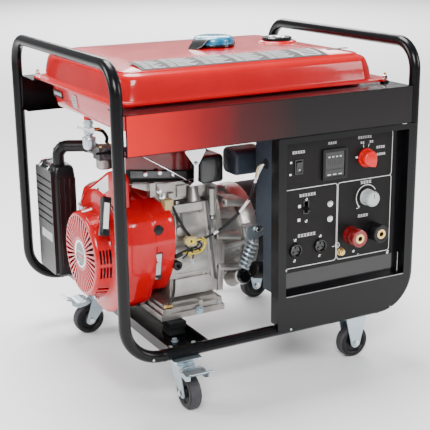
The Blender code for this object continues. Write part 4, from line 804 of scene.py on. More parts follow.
def control_box():
    for name, mat, bevel in (("control_panel", PANEL, 0.0004), ("control_box_case", CASEGREY, 0.0012)):
        finish_node(name, mat, bevel)
    cover = Piece("control_cover_pressing")
    y0, y1 = -0.28105, -0.27905
    outer = rounded([(-0.003, 0.117), (0.353, 0.117), (0.353, 0.5487), (-0.003, 0.5487)],
                    [0.012, 0.078, 0.003, 0.003], 10)
    inner = rounded([(0.017, 0.199), (0.335, 0.199), (0.335, 0.536), (0.017, 0.536)],
                    [0.004] * 4, 10)
    cover.surround(outer, inner, (y0, y1, y0), BLACK)
    # returns folded back round the window and along the left edge
    lip = 0.0206
    wall = 0.0016
    cover.box((0.0154, y1 - 0.001, 0.1975), (0.017, y1 + lip, 0.5375), BLACK)
    cover.box((0.335, y1 - 0.001, 0.1975), (0.335 + wall, y1 + lip + wall, 0.5375), BLACK)
    cover.box((0.0154, y1 - 0.001, 0.536), (0.335 + wall, y1 + lip, 0.5376), BLACK)
    cover.box((0.0154, y1 - 0.001, 0.1974), (0.335 + wall, y1 + 0.0105, 0.199), BLACK)
    cover.box((-0.0028, y1 - 0.001, 0.1355), (-0.001, -0.25075, 0.5452), BLACK)
    cover.done(["control_cover"], bevel=0.0007, weld=True, slot="black_powder_coat")
    # the tray behind the foot of the window
    tray = Piece("control_box_tray")
    tray_back = -0.208  # the dipstick's cap comes forward to -0.202 when it is pulled
    tray.box((0.0165, FACE + 0.0005, 0.1978), (0.3345, FACE + 0.0021, 0.2448), SHINE)
    tray.box((0.0165, -0.268, 0.1976), (0.3345, tray_back, 0.199), BLACK)
    tray.box((0.3172, FACE + 0.0005, 0.244), (0.3358, FACE + 0.0021, 0.536), BLACK)
    # a light steel strip along the window's lower lip: a painted highlight line
    tray.box((0.0175, -0.2812, 0.1978), (0.3345, -0.279, 0.1996), STEEL)
    tray.box((0.0028, FACE + 0.005, 0.201), (0.0044, tray_back, 0.343), CASEGREY)
    tray.box((0.331, FACE + 0.005, 0.201), (0.333, tray_back, 0.343), CASEGREY)
    tray.done(bevel=0.0005)

    marks = Print("panel_marks")
    marks.line([(0.023, 0.5325), (0.302, 0.5325), (0.3045, 0.5315), (0.3065, 0.5295), (0.307, 0.527),
                (0.307, 0.437), (0.306, 0.434), (0.304, 0.4315), (0.301, 0.4305), (0.167, 0.4305),
                (0.1645, 0.429), (0.1632, 0.427), (0.1628, 0.424)])
    marks.line([(0.1605, 0.424), (0.16, 0.427), (0.1585, 0.429), (0.156, 0.4305),
                (0.0245, 0.4305)])
    marks.line([(0.1605, 0.4245), (0.1605, 0.2625), (0.16, 0.259), (0.158, 0.256),
                (0.155, 0.2545), (0.0235, 0.2545)])
    marks.line([(0.163, 0.4245), (0.163, 0.2625), (0.164, 0.259), (0.166, 0.256),
                (0.169, 0.2545), (0.301, 0.2545), (0.304, 0.2555), (0.306, 0.2575),
                (0.307, 0.261), (0.307, 0.424), (0.306, 0.428), (0.303, 0.4303)])
    for x, z, count, size in (
        (0.044, 0.508, 5, 0.0055), (0.1345, 0.519, 4, 0.0048), (0.213, 0.5225, 6, 0.0052),
        (0.22, 0.511, 2, 0.0045), (0.244, 0.511, 2, 0.0045), (0.263, 0.496, 4, 0.005),
        (0.265, 0.48, 4, 0.005), (0.063, 0.412, 6, 0.006), (0.2235, 0.42, 4, 0.0062),
        (0.218, 0.344, 4, 0.006), (0.06, 0.322, 6, 0.0066),
    ):
        marks.words(x, z, count, size)
    for x, z in ((0.0385, 0.488), (0.037, 0.462), (0.208, 0.48)):
        marks.bar(x, z, x + 0.005, z + 0.004)
    for x, z in ((0.06, 0.388), (0.059, 0.3575)):
        marks.bar(x, z, x + 0.0068, z + 0.0068)
    for k in range(2):
        t = math.radians(75 + 30 * k)
        a, b = Vector((0.235, 0.479)), Vector((math.cos(t), math.sin(t)))
        marks.line([a + b * 0.0235, a + b * 0.031], 0.001)
    arc = []
    for k in range(22):
        t = math.radians(30 + 200 * k / 21)
        arc.append((0.24 + 0.0275 * math.cos(t), 0.389 + 0.0275 * math.sin(t)))
    marks.line(arc, 0.0014)
    marks.line([(0.2135, 0.3655), (0.22, 0.366), (0.2175, 0.3725)], 0.0014)
    marks.line([(0.219, 0.258), (0.223, 0.258)], 0.0012)
    marks.line([(0.15, 0.287), (0.156, 0.287)], 0.0012)
    marks.done(bevel=0)

    screws = Piece("panel_screws")
    for x, z in ((0.305, 0.249), (0.296, 0.5395), (0.03, 0.5395), (0.03, 0.2495), (0.0535, 0.3165),
                 (0.1185, 0.3165), (0.052, 0.27), (0.117, 0.2715), (0.081, 0.404),
                 (0.081, 0.356), (0.209, 0.267)):
        r = 0.0034 if x < 0.29 else 0.0042
        screws.lathe([(0, 0.0018), (r * 0.6, 0.0016), (r, 0.0006), (r, 0), (0, 0)], (x, FACE, z),
                     (0, -1, 0), CHROME, 24)
        # a dark bar across the head: painted shade in the screw's slot
        screws.box((x - r * 0.6, FACE - 0.0021, z - 0.0004), (x + r * 0.6, FACE - 0.0015, z + 0.0004),
                   PAINTED_SHADE_BLACK)
    screws.done(bevel=0)

    x, z = 0.06, 0.479
    bezel = Piece("rocker_bezel")
    outer = rect(x - 0.0105, z - 0.0165, x + 0.0105, z + 0.0165, 0.002)
    inner = rect(x - 0.0071, z - 0.013, x + 0.0071, z + 0.013, 0.001)
    bezel.surround(outer, inner, (FACE - 0.0001, FACE - 0.0022, FACE - 0.0001), SHINE)
    bezel.done(bevel=0.0003, weld=True)
    finish_node("mode_rocker", SHINE, 0)
    mark = Piece("rocker_mark", "rocker")
    mark.rod((x, FACE - 0.0037, z - 0.006), (x, FACE - 0.0041, z - 0.006), 0.0018, GREYPL, 20)
    mark.done(bevel=0)

    x, z = 0.151, 0.475
    meter = Piece("meter_bezel")
    outer = rect(x - 0.032, z - 0.034, x + 0.032, z + 0.034, 0.003)
    inner = rect(x - 0.0255, z - 0.0275, x + 0.0255, z + 0.0275, 0.002)
    meter.surround(outer, inner, (FACE - 0.0002, FACE - 0.006, FACE - 0.0035), PLASTIC,
                   closed=False)
    meter.box((x - 0.0256, FACE - 0.0036, z - 0.0276), (x + 0.0256, FACE - 0.0002, z + 0.0276), GLASS)
    meter.box((x - 0.028, FACE - 0.0002, z - 0.028), (x + 0.028, FACE + 0.045, z + 0.028), PLASTIC)
    for k in range(4):
        u = x - 0.0175 + k * 0.0098
        meter.box((u, FACE - 0.0038, z + 0.015), (u + 0.0052, FACE - 0.0035, z + 0.0178), GREYPL)
        meter.box((u, FACE - 0.0038, z - 0.002), (u + 0.0006, FACE - 0.0035, z + 0.011), STRIP)
        meter.box((u + 0.0052, FACE - 0.0038, z - 0.002), (u + 0.0058, FACE - 0.0035, z + 0.011),
                  STRIP)
    for k in range(3):
        u = x - 0.019 + k * 0.0145
        meter.box((u, FACE - 0.0038, z - 0.0235), (u + 0.0085, FACE - 0.0035, z - 0.0218), WHITE)
    meter.box((x - 0.024, FACE - 0.0042, z - 0.012), (x + 0.024, FACE - 0.0035, z - 0.0112), PLASTIC)
    meter.done(["weld_meter"], bevel=0.0004, weld=False, slot="black_plastic")

    knob = Piece("selector_body", "selector")
    x, z = 0.235, 0.479
    knob.lathe([(0, 0.006), (0.0205, 0.006), (0.021, 0.005), (0.021, 0.0012), (0, 0.0012)],
               (x, FACE, z), (0, -1, 0), REDPL, 48)
    spin = Matrix.Translation((x, 0, z)) @ Matrix.Rotation(math.radians(-35), 4, "Y")
    outline = rounded([(-0.0195, 0.0), (-0.0155, 0.014), (0.0, 0.019), (0.0155, 0.014),
                       (0.0195, 0.0), (0.0135, -0.013), (0.0, -0.0262), (-0.0135, -0.013)],
                      [0.01] * 6 + [0.003, 0.01], 5)
    rings = []
    for h, s in ((0.006, 1.0), (0.015, 0.98), (0.019, 0.95), (0.0214, 0.87), (0.022, 0.78)):
        rings.append([spin @ Vector((u * s, FACE - h, v * s)) for u, v in outline])
    knob.loft(rings, REDPL)
    knob.done(["selector_knob"], bevel=0, angle=40, slot="red_plastic")

    knob = Piece("current_knob_body", "current")
    x, z = 0.24, 0.389
    knob.lathe([(0, 0.029), (0.013, 0.029), (0.0152, 0.028), (0.016, 0.0262), (0.0165, 0.006),
                (0.0185, 0.004), (0.0185, 0.0012), (0, 0.0012)], (x, FACE, z), (0, -1, 0), GREYPL,
               48)
    for k in range(18):
        t = 2 * math.pi * k / 18
        c = Vector((x + 0.0158 * math.cos(t), 0, z + 0.0158 * math.sin(t)))
        knob.rod((c.x, FACE - 0.0255, c.z), (c.x, FACE - 0.005, c.z), 0.0019, GREYPL, 10)
    knob.box((x - 0.0008, FACE - 0.0295, z + 0.002), (x + 0.0008, FACE - 0.0288, z + 0.0125), STRIP)
    knob.done(["current_knob"], bevel=0.0003, slot="zinc")

    x, z = 0.08, 0.388
    guard = Piece("breaker_bezel")
    outer = rect(x - 0.0075, z - 0.0155, x + 0.0075, z + 0.0155, 0.001)
    inner = rect(x - 0.0048, z - 0.0128, x + 0.0048, z + 0.0128, 0.001)
    guard.surround(outer, inner, (FACE - 0.0001, FACE - 0.0016, FACE - 0.0001), SHINE)
    guard.done(bevel=0.0003, weld=True)
    finish_node("breaker_toggle", PLASTIC, 0)

    for tag, z in (("upper", 0.387), ("lower", 0.353)):
        button = Piece(f"reset_{tag}_cap", f"reset_{tag}")
        button.lathe([(0, 0.0072), (0.003, 0.007), (0.0048, 0.0052), (0.0048, -0.008),
                      (0, -0.008)], (0.142, FACE, z), (0, -1, 0), WHITE, 28)
        button.done([f"reset_button_{tag}"], bevel=0, slot="zinc")
        ring = Piece(f"reset_{tag}_nut")
        ring.lathe([(0.0056, 0.0024), (0.007, 0.0022), (0.0075, 0.001), (0.0075, 0.0001),
                    (0.0056, 0.0001)], (0.142, FACE, z), (0, -1, 0), CHROME, 28, closed=True)
        ring.done(bevel=0)

    for tag, x, z in (("left", 0.054, 0.294), ("right", 0.118, 0.295)):
        socket = Piece(f"outlet_{tag}_face")
        socket.lathe([(0, 0.0012), (0.01, 0.0012), (0.0108, 0.003), (0.0118, 0.0052),
                      (0.014, 0.0058), (0.0152, 0.0048), (0.0158, 0.003), (0.0162, 0.0003),
                      (0.0135, 0.0003), (0.0135, -0.026), (0, -0.026)], (x, FACE, z), (0, -1, 0),
                     SHINE, 40)
        # three dark slots: painted shade in the outlet's openings
        for k in range(3):
            t = math.radians(90 + 120 * k)
            place = (Matrix.Translation((x, FACE, z)) @ Matrix.Rotation(-t, 4, "Y"))
            socket.box((0.004, -0.0018, -0.0012), (0.0092, -0.0011, 0.0012), PAINTED_SHADE_BLACK, place)
        socket.done([f"outlet_{tag}"], bevel=0.0003, slot="black_plastic")

    for tag, mat, x, z in (("red", MAROON_AND_SHADED_RED, 0.199, 0.307), ("black", PLASTIC, 0.257, 0.309)):
        end = Piece(f"weld_socket_{tag}")
        end.lathe([(0.0106, 0.0345), (0.0112, 0.037), (0.018, 0.0378), (0.0198, 0.0366),
                   (0.0205, 0.035), (0.0205, 0.012), (0.02, 0.011), (0.0205, 0.01),
                   (0.0205, 0.0003), (0.0106, 0.0003)], (x, FACE, z), (0, -1, 0), mat, 48,
                  closed=True)
        end.lathe([(0.0055, 0.0376), (0.0108, 0.0376), (0.0114, 0.0368), (0.0106, -0.0215),
                   (0, -0.0215), (0, 0.006), (0.0055, 0.006)], (x, FACE, z), (0, -1, 0), BRASS,
                  40, closed=False)
        end.lathe([(0.0056, 0.006), (0.0056, 0.0372), (0.0052, 0.0372), (0.0048, 0.008)],
                  (x, FACE, z), (0, -1, 0), BRASS, 32)
        end.done([f"weld_terminal_{tag}"], bevel=0.0003, weld=True, slot=f"{tag}_plastic")

    earth = Piece("earth_stud")
    x, z = 0.173, 0.272
    earth.lathe([(0, 0.012), (0.004, 0.012), (0.0046, 0.0112), (0.0046, 0.009), (0.0072, 0.0085),
                 (0.0075, 0.0075), (0.0075, 0.0015), (0.009, 0.001), (0.009, 0.0003),
                 (0.004, 0.0003), (0.004, -0.012), (0, -0.012)], (x, FACE, z), (0, -1, 0), BRASS,
                36)
    earth.done(["earth_terminal"], bevel=0.0002, slot="brass")
    sign = Piece("earth_mark")
    sign.lathe([(0.0052, 0.0006), (0.0062, 0.0006), (0.0062, 0.0003), (0.0052, 0.0003)],
               (0.164, FACE, 0.288), (0, -1, 0), WHITE, 28, closed=True)
    for k, w in enumerate((0.0034, 0.0022, 0.001)):
        sign.box((0.164 - w, FACE - 0.0006, 0.2876 - k * 0.0016),
                 (0.164 + w, FACE - 0.0003, 0.2882 - k * 0.0016), WHITE)
    sign.done(bevel=0)

    grommet = Piece("case_grommet")
    grommet.lathe([(0.0042, 0.0018), (0.0105, 0.0016), (0.0115, 0.0004), (0.0042, 0.0004)],
                  (0.0005, -0.224, 0.486), (-1, 0, 0), RUBBER, 32, closed=True)
    grommet.done(bevel=0)


# ------------------------------------------------------------------ engine


def shroud():
    """The blower housing: a pressed cover with round edges and a rim that turns out."""
    front = [(-0.052, 0.1777), (-0.1, 0.197), (-0.141, 0.25), (-0.159, 0.322),
             (-0.148, 0.374), (-0.088, 0.406), (-0.01, 0.417)]
    rear = [(0.06, 0.42), (0.112, 0.412), (0.15, 0.35), (0.15, 0.23), (0.108, 0.19),
            (0.06, 0.1777)]
    lobe = [(-0.048, 0.144), (-0.11, 0.176), (-0.147, 0.245)]
    rear_lobe = [(0.112, 0.182), (0.05, 0.144)]
    radii = [0.04, 0.05, 0.08, 0.04, 0.03, 0.03, 0.02, 0.02, 0.02, 0.04, 0.05, 0.04,
             0.03]
    outline = rounded([(EY + y, z) for y, z in front + rear], radii, 6)
    full = rounded([(EY + y, z) for y, z in lobe + front[3:] + rear[:-2] + rear_lobe], radii, 6)
    mid = Vector((EY, 0.3))
    piece = Piece("blower_shroud")
    rings = []
    for x, s in ((-0.288, 0.84), (-0.2872, 0.868), (-0.285, 0.89), (-0.2805, 0.915),
                 (-0.274, 0.938), (-0.26, 0.965), (-0.24, 0.985), (-0.224, 0.99),
                 (-0.2215, 0.98), (-0.2195, 0.985), (-0.2, 0.992),
                 (-0.185, 0.994), (-0.184, 1.0), (-0.1785, 1.0), (-0.1785, 0.984),
                 (-0.184, 0.98), (-0.219, 0.965), (-0.223, 0.96), (-0.27, 0.925),
                 (-0.284, 0.88), (-0.285, 0.84)):
        ring = []
        for p in full if x < -0.2205 else outline:
            q = mid + (Vector(p) - mid) * s
            ring.append((x, q.x, q.y))
        rings.append(ring)
    piece.loft(rings, RED, capped=False)
    # face back towards the recoil cover
    face = [[(x, (mid + (Vector(p) - mid) * s).x, (mid + (Vector(p) - mid) * s).y) for p in full]
            for x, s in ((-0.288, 0.84), (-0.288, 0.72), (-0.285, 0.72), (-0.285, 0.84))]
    piece.loft(face, RED, capped=False)
    piece.done(["blower_housing"], bevel=0, angle=48, weld=True, slot="red_paint")

    hood = Piece("blower_hood")
    slope = rounded([(EY - 0.104, 0.395), (EY - 0.104, 0.452), (EY - 0.098, 0.4675),
                     (EY - 0.052, 0.4675), (EY + 0.098, 0.39)], [0, 0.01, 0.012, 0.016, 0.01], 5)
    core = Vector((EY - 0.04, 0.42))
    rings = []
    for x, k in ((-0.2882, 0.93), (-0.287, 0.965), (-0.284, 0.99), (-0.279, 1.0), (-0.264, 1.0),
                 (-0.26, 0.99), (-0.258, 0.96)):
        rings.append([(x, *(core + (Vector(q) - core) * k)) for q in slope])
    hood.loft(rings, RED)
    for k, (mat, a, b, low) in enumerate(((WHITE, (0.08, 0.3905), (-0.058, 0.461), 0.034),
                                          (STRIP, (0.008, 0.415), (-0.004, 0.4212), 0.006))):
        x = -0.289 - 0.0004 * k
        quad = [(EY + a[0], a[1]), (EY + b[0], b[1]), (EY + b[0], b[1] - low),
                (EY + a[0] - low * 0.5, a[1] - low * 0.75)]
        hood.prism(quad, x, x + 0.0012, "X", mat)
    hood.done(bevel=0, angle=50, slot="red_paint")

    trim = Piece("blower_trim")
    p = Vector((-0.215, EY - 0.15, 0.349))
    trim.lathe([(0, 0.003), (0.009, 0.0026), (0.0118, 0.0014), (0.0125, 0), (0, -0.001)], p,
               (0, -1, 0.09), PLASTIC, 36)
    # a plain generic label
    corner = (Matrix.Translation((-0.229, EY - 0.1432, 0.268))
              @ Matrix.Rotation(math.radians(-5), 4, "Z") @ Matrix.Rotation(math.radians(14), 4, "X"))
    trim.box((-0.0215, -0.0014, -0.0345), (0.0215, 0.003, 0.0325), STRIP, corner)
    trim.box((-0.0195, -0.0018, -0.0225), (0.0195, 0.0, 0.0305), LABEL, corner)
    for k in range(3):
        trim.box((-0.013 + k * 0.002, -0.0022, -0.006 + k * 0.0075),
                 (0.002 + k * 0.005, -0.0014, -0.003 + k * 0.0075), STRIP, corner)
        trim.box((-0.016, -0.0018, -0.0325 + k * 0.0032), (0.014 - k * 0.004, -0.0011,
                                                          -0.0311 + k * 0.0032), LABEL, corner)
    for y, z in ((-0.128, 0.398), (-0.146, 0.225), (0.128, 0.36), (0.128, 0.22)):
        trim.bolt(at_shaft(-0.288, y * 0.92, 0.3 + (z - 0.3) * 0.92), (-1, 0, 0), 0.0045)
    trim.done(bevel=0.0002)


def recoil():
    """The starter's cover: a ring of slots in its face and rows of slots in its side."""
    n = 160
    profile = [
        (0.034, 0.05), (0.0385, 0.05), (0.086, 0.0494), (0.0895, 0.049), (0.0925, 0.0478),
        (0.0945, 0.0455), (0.0957, 0.0425), (0.0962, 0.04), (0.0967, 0.036), (0.0971, 0.033),
        (0.0975, 0.029), (0.098, 0.026), (0.0985, 0.022), (0.099, 0.019), (0.1, 0.015),
        (0.1012, 0.0125), (0.104, 0.009), (0.112, 0.0065), (0.126, 0.005), (0.135, 0.0035),
        (0.1395, 0.0015), (0.14, 0.0003),
    ]
    place = Matrix.Translation(at_shaft(-0.289, 0, SZ)) @ toward((-1, 0, 0))
    axes = place.to_3x3()

    def angle_of(k):
        """The direction of column k round the shaft, in degrees from +Y towards +Z."""
        t = 2 * math.pi * (k + 0.5) / n
        d = axes @ Vector((math.cos(t), math.sin(t), 0))
        return math.degrees(math.atan2(d.z, d.y)) % 360

    def is_open(j, k):
        """Slots round the face, and two groups of slots in the side."""
        look = angle_of(k)
        slot = k % 4 in (1, 2)
        if 7 <= j <= 13 and 214 < look < 262:
            return slot
        if j in (7, 9, 11, 13) and (163 < look < 180 or 184 < look < 201):
            return True
        return j == 1 and slot

    grille = pierced_sheet("recoil_grille", profile, place, n, is_open, RED)
    mesh = grille.data
    thick = grille.modifiers.new("sheet", "SOLIDIFY")
    thick.thickness = 0.0022
    thick.offset = -1.0
    out = sum(((v.co - at_shaft(-0.31, 0, SZ)).dot(v.normal) for v in mesh.vertices))
    if out < 0:
        thick.offset = 1.0
    edge = grille.modifiers.new("edge", "BEVEL")
    edge.width = 0.0004
    edge.segments = 2
    edge.limit_method = "ANGLE"
    edge.angle_limit = math.radians(40)
    mesh.set_sharp_from_angle(angle=math.radians(50))
    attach(grille, M)
    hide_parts("recoil_cover")

    hub = Piece("recoil_badge")
    c = at_shaft(-0.289, 0, SZ)
    hub.lathe([(0, 0.0486), (0.0262, 0.0486), (0.0272, 0.05), (0.0312, 0.05), (0.0318, 0.049),
               (0.0318, 0.0475), (0, 0.0475)], c, (-1, 0, 0), CHROME, 56,
              mats=[SHINE, CHROME, CHROME, CHROME, CHROME, CHROME])
    hub.lathe([(0.0312, 0.0494), (0.0345, 0.0498), (0.0345, 0.047), (0.0312, 0.0468)], c,
              (-1, 0, 0), RED, 56, closed=True)
    for w, z, mat in ((0.017, 0.004, LABEL), (0.013, -0.006, REDPL)):
        place = Matrix.Translation((c.x - 0.0487, c.y, c.z + z))
        hub.box((-0.0005, -w, -0.0022), (0.0003, w, 0.0022), mat, place)
    hub.rod(at_shaft(-0.3365, 0, SZ), at_shaft(-0.309, 0, SZ), 0.009, STEEL, 24)
    for deg in (40, 160, 280):
        t = math.radians(deg)
        hub.bolt(at_shaft(-0.2952, 0.119 * math.cos(t), SZ + 0.119 * math.sin(t)), (-1, 0, 0),
                 0.005)
    hub.done(bevel=0.0003)
    finish_node("recoil_pulley", PLASTIC, 0.0004)

    pull = Vector((0, -math.cos(math.radians(24.5)), math.sin(math.radians(24.5))))
    away = Vector((0, math.sin(math.radians(24.5)), math.cos(math.radians(24.5))))
    base = at_shaft(-0.318, 0, SZ) + away * 0.0556
    guide = Piece("rope_guide_boss")
    guide.lathe([(0.0042, 0.036), (0.0075, 0.036), (0.0095, 0.033), (0.012, 0.012), (0.015, 0),
                 (0.0042, 0)], base + pull * 0.086, pull, RED, 32, closed=True)
    guide.done(bevel=0.0004, slot="red_paint")
    lean = math.radians(15)
    long_axis = away * math.cos(lean) + Vector((1, 0, 0)) * math.sin(lean)
    side_axis = long_axis.cross(pull)
    turn = Matrix((pull, side_axis, long_axis)).transposed().to_4x4()
    place = Matrix.Translation(base + pull * 0.1407) @ turn
    grip = Piece("pull_grip", "starter_handle")
    rings = []
    for w, a, b in ((-0.042, 0.006, 0.008), (-0.0415, 0.0085, 0.01), (-0.038, 0.0098, 0.0108),
                    (-0.02, 0.0092, 0.01), (0.0, 0.0086, 0.0096), (0.02, 0.0092, 0.01),
                    (0.038, 0.0098, 0.0108), (0.0415, 0.0085, 0.01), (0.042, 0.006, 0.008)):
        rings.append([place @ Vector((u, v, w)) for u, v in rect(-a, -b, a, b, min(a, b) * 0.55, 4)])
    grip.loft(rings, PLASTIC)
    grip.box((0.0084, -0.0055, -0.028), (0.0103, 0.0055, 0.028), WHITE, place)
    grip.tube([base - pull * 0.06, base + pull * 0.1407], 0.0019, WHITE, 10)
    grip.lathe([(0.0019, 0.01), (0.0034, 0.009), (0.0046, 0), (0.0019, 0)],
               base + pull * 0.13, pull * -1, PLASTIC, 20, closed=True)
    grip.done(["pull_handle"], bevel=0, angle=45, slot="black_plastic")


def crankcase():
    body = Piece("crankcase_casting")
    front = at_shaft(0, -0.125, 0).y
    side = [(0.118, 0.176), (0.1262, 0.25), (0.115, 0.335), (0.094, 0.3965)]
    corners = [(EY - y, z) for y, z in side] + [(EY + y, z) for y, z in reversed(side)]
    outline = rounded(corners, [0.004, 0.06, 0.03, 0.01, 0.01, 0.03, 0.06, 0.004], 6)
    body.prism(outline, -0.1777, -0.06, "X", CAST)
    flange = [((u - EY) * 1.035 + EY, 0.285 + (v - 0.285) * 1.03) for u, v in outline]
    flange = [(u, max(v, 0.175)) for u, v in flange]
    body.prism(flange, -0.06, -0.051, "X", CAST)
    body.prism(flange, -0.0503, -0.0448, "X", CAST)
    # foot
    body.box(at_shaft(-0.218, -0.16, 0.144), at_shaft(-0.062, 0.16, 0.158), CAST)
    body.box(at_shaft(-0.213, -0.156, 0.1575), at_shaft(-0.066, 0.156, 0.169), CAST)
    body.box(at_shaft(-0.208, -0.143, 0.1685), at_shaft(-0.07, 0.143, 0.177), CAST)
    for x in (-0.205, -0.125, -0.078):
        body.box(at_shaft(x, -0.1595, 0.157), at_shaft(x + 0.009, -0.12, 0.176), CAST)
    # bosses, faint ribs and the joint line on the operator's side
    for x, z0, z1 in ((-0.163, 0.182, 0.372), (-0.094, 0.178, 0.24)):
        body.box((x - 0.0014, front - 0.0014, z0), (x + 0.0014, front + 0.03, z1), CAST)
    seam = [(-0.0955, 0.392), (-0.09, 0.392), (-0.079, 0.278), (-0.0665, 0.18),
            (-0.0725, 0.18), (-0.085, 0.278)]
    body.prism(seam, front - 0.003, front + 0.03, "Y", CAST)
    body.prism([(u + 0.0075, v) for u, v in seam], front - 0.002, front + 0.03, "Y", CAST_DARK)
    body.box((-0.172, front - 0.0012, 0.23), (-0.086, front + 0.03, 0.233), CAST)
    body.rod((-0.071, front + 0.002, 0.357), (-0.0705, front + 0.004, 0.418), 0.0105, CAST, 28,
             0.0092, 0.0015)
    body.rod((-0.114, front + 0.004, 0.393), (-0.114, front + 0.012, 0.432), 0.015, CAST, 28,
             0.0065, 0.001)
    for x in (-0.168, -0.148, -0.066):
        body.rod((x, front + 0.01, 0.345), (x, front + 0.022, 0.394), 0.0085, CAST, 20, 0.007)
    body.box((-0.175, front + 0.004, 0.372), (-0.066, front + 0.06, 0.39), CAST)
    for x, z, w in ((-0.15, 0.33, 0.018), (-0.075, 0.322, 0.012), (-0.078, 0.268, 0.014)):
        body.rod((x, front + 0.02, z), (x, front - 0.0016, z), w * 0.62, CAST, 28, edge=0.001)
    # the sloping sump corner
    slope = [(-0.175, 0.182), (-0.064, 0.182), (-0.064, 0.205), (-0.086, 0.222), (-0.175, 0.222)]
    body.prism(slope, front - 0.004, front + 0.03, "Y", CAST)
    body.rod((-0.171, front + 0.01, 0.262), (-0.171, front - 0.012, 0.262), 0.015, CAST, 28,
             edge=0.001)
    body.done(["crankcase"], bevel=0.0011, slot="cast_aluminium")

    cover = Piece("crankcase_cover_casting")
    rings = []
    for x, s in ((-0.0447, 1.02), (-0.038, 1.02), (-0.0372, 0.985), (-0.02, 0.965),
                 (-0.001, 0.93), (0.009, 0.9), (0.016, 0.868), (0.02, 0.855)):
        ring = []
        for k in range(64):
            t = 2 * math.pi * k / 64
            wobble = 0.118 + 0.006 * max(0.0, -math.sin(t)) ** 2 * abs(math.cos(t))
            ring.append(at_shaft(x, wobble * s * math.cos(t), SZ + wobble * s * math.sin(t) * 0.985))
        rings.append(ring)
    cover.loft(rings, CAST)
    for k in range(9):
        t = math.radians(100 + 40 * k)
        y, z = 0.113 * math.cos(t), 0.1115 * math.sin(t)
        a = at_shaft(-0.042, y, SZ + z)
        b = at_shaft(-0.022 if k % 2 else 0.01, y, SZ + z)
        cover.rod(a, b, 0.0088, CAST, 20, 0.0075, 0.001)
        cover.bolt(b, (1, 0, 0), 0.0052)
    for k in range(7):
        t = math.radians(130 + 20 * k)
        rib = Matrix.Translation(at_shaft(0, 0, SZ)) @ Matrix.Rotation(t, 4, "X")
        cover.box((-0.036, 0.092, -0.0016), (0.006, 0.1135, 0.0016), CAST, rib)
    for x0, x1, z0, z1, r in ((-0.066, -0.004, 0.308, 0.299, 0.0092),
                              (-0.061, 0.0, 0.235, 0.224, 0.0085),
                              (-0.039, 0.008, 0.379, 0.374, 0.011),
                              (-0.052, -0.01, 0.345, 0.342, 0.007)):
        y = -0.1165 if z0 < 0.34 else -0.096 + (0.345 - z0) * 0.3
        cover.rod((x0, y, z0), (x1, y + 0.002, z1), r, CAST, 28, edge=0.0012)
        cover.rod((x0 - 0.0005, y, z0), (x0 + 0.001, y, z0), r * 0.45, CAST_DARK, 20)
        web = [(x0 + 0.006, z0 - r * 0.8), (x1, z1 - r * 0.8), (x1, z1 + r * 0.8),
               (x0 + 0.006, z0 + r * 0.8)]
        cover.prism(web, y, y + 0.04, "Y", CAST)
    axis = Vector((0, -0.94, 0.34)).normalized()
    mouth = at_shaft(0.003, -0.128, 0.201)
    cover.lathe([(0.0088, 0.0), (0.0135, 0.0), (0.015, -0.0015), (0.015, -0.01),
                 (0.0175, -0.03), (0.022, -0.052), (0.0088, -0.052)], mouth, axis, CAST, 32,
                closed=True)
    cover.done(["crankcase_cover"], bevel=0.0008, slot="cast_aluminium")
    stick = Piece("dipstick_cap", "oil_dipstick")
    stick.lathe([(0, 0.013), (0.004, 0.013), (0.0048, 0.0115), (0.0125, 0.0105), (0.015, 0.0142),
                 (0.0168, 0.0128), (0.0172, 0.0105), (0.0172, 0.0032), (0.016, 0.0022),
                 (0.008, 0.0014), (0.008, -0.018), (0.003, -0.02), (0.003, -0.065),
                 (0, -0.065)], mouth, axis, SHINE, 40)
    for k in range(20):
        t = 2 * math.pi * k / 20
        a = Matrix.Translation(mouth) @ toward(axis)
        stick.rod(a @ Vector((0.0168 * math.cos(t), 0.0168 * math.sin(t), 0.004)),
                  a @ Vector((0.0168 * math.cos(t), 0.0168 * math.sin(t), 0.0112)), 0.0009, SHINE, 6)
    stick.lathe([(0.013, 0.0024), (0.0188, 0.0023), (0.019, 0.0006), (0.0088, 0.0006)], mouth,
                axis, WHITE, 36, closed=True)
    stick.done(["dipstick"], bevel=0, slot="black_plastic")


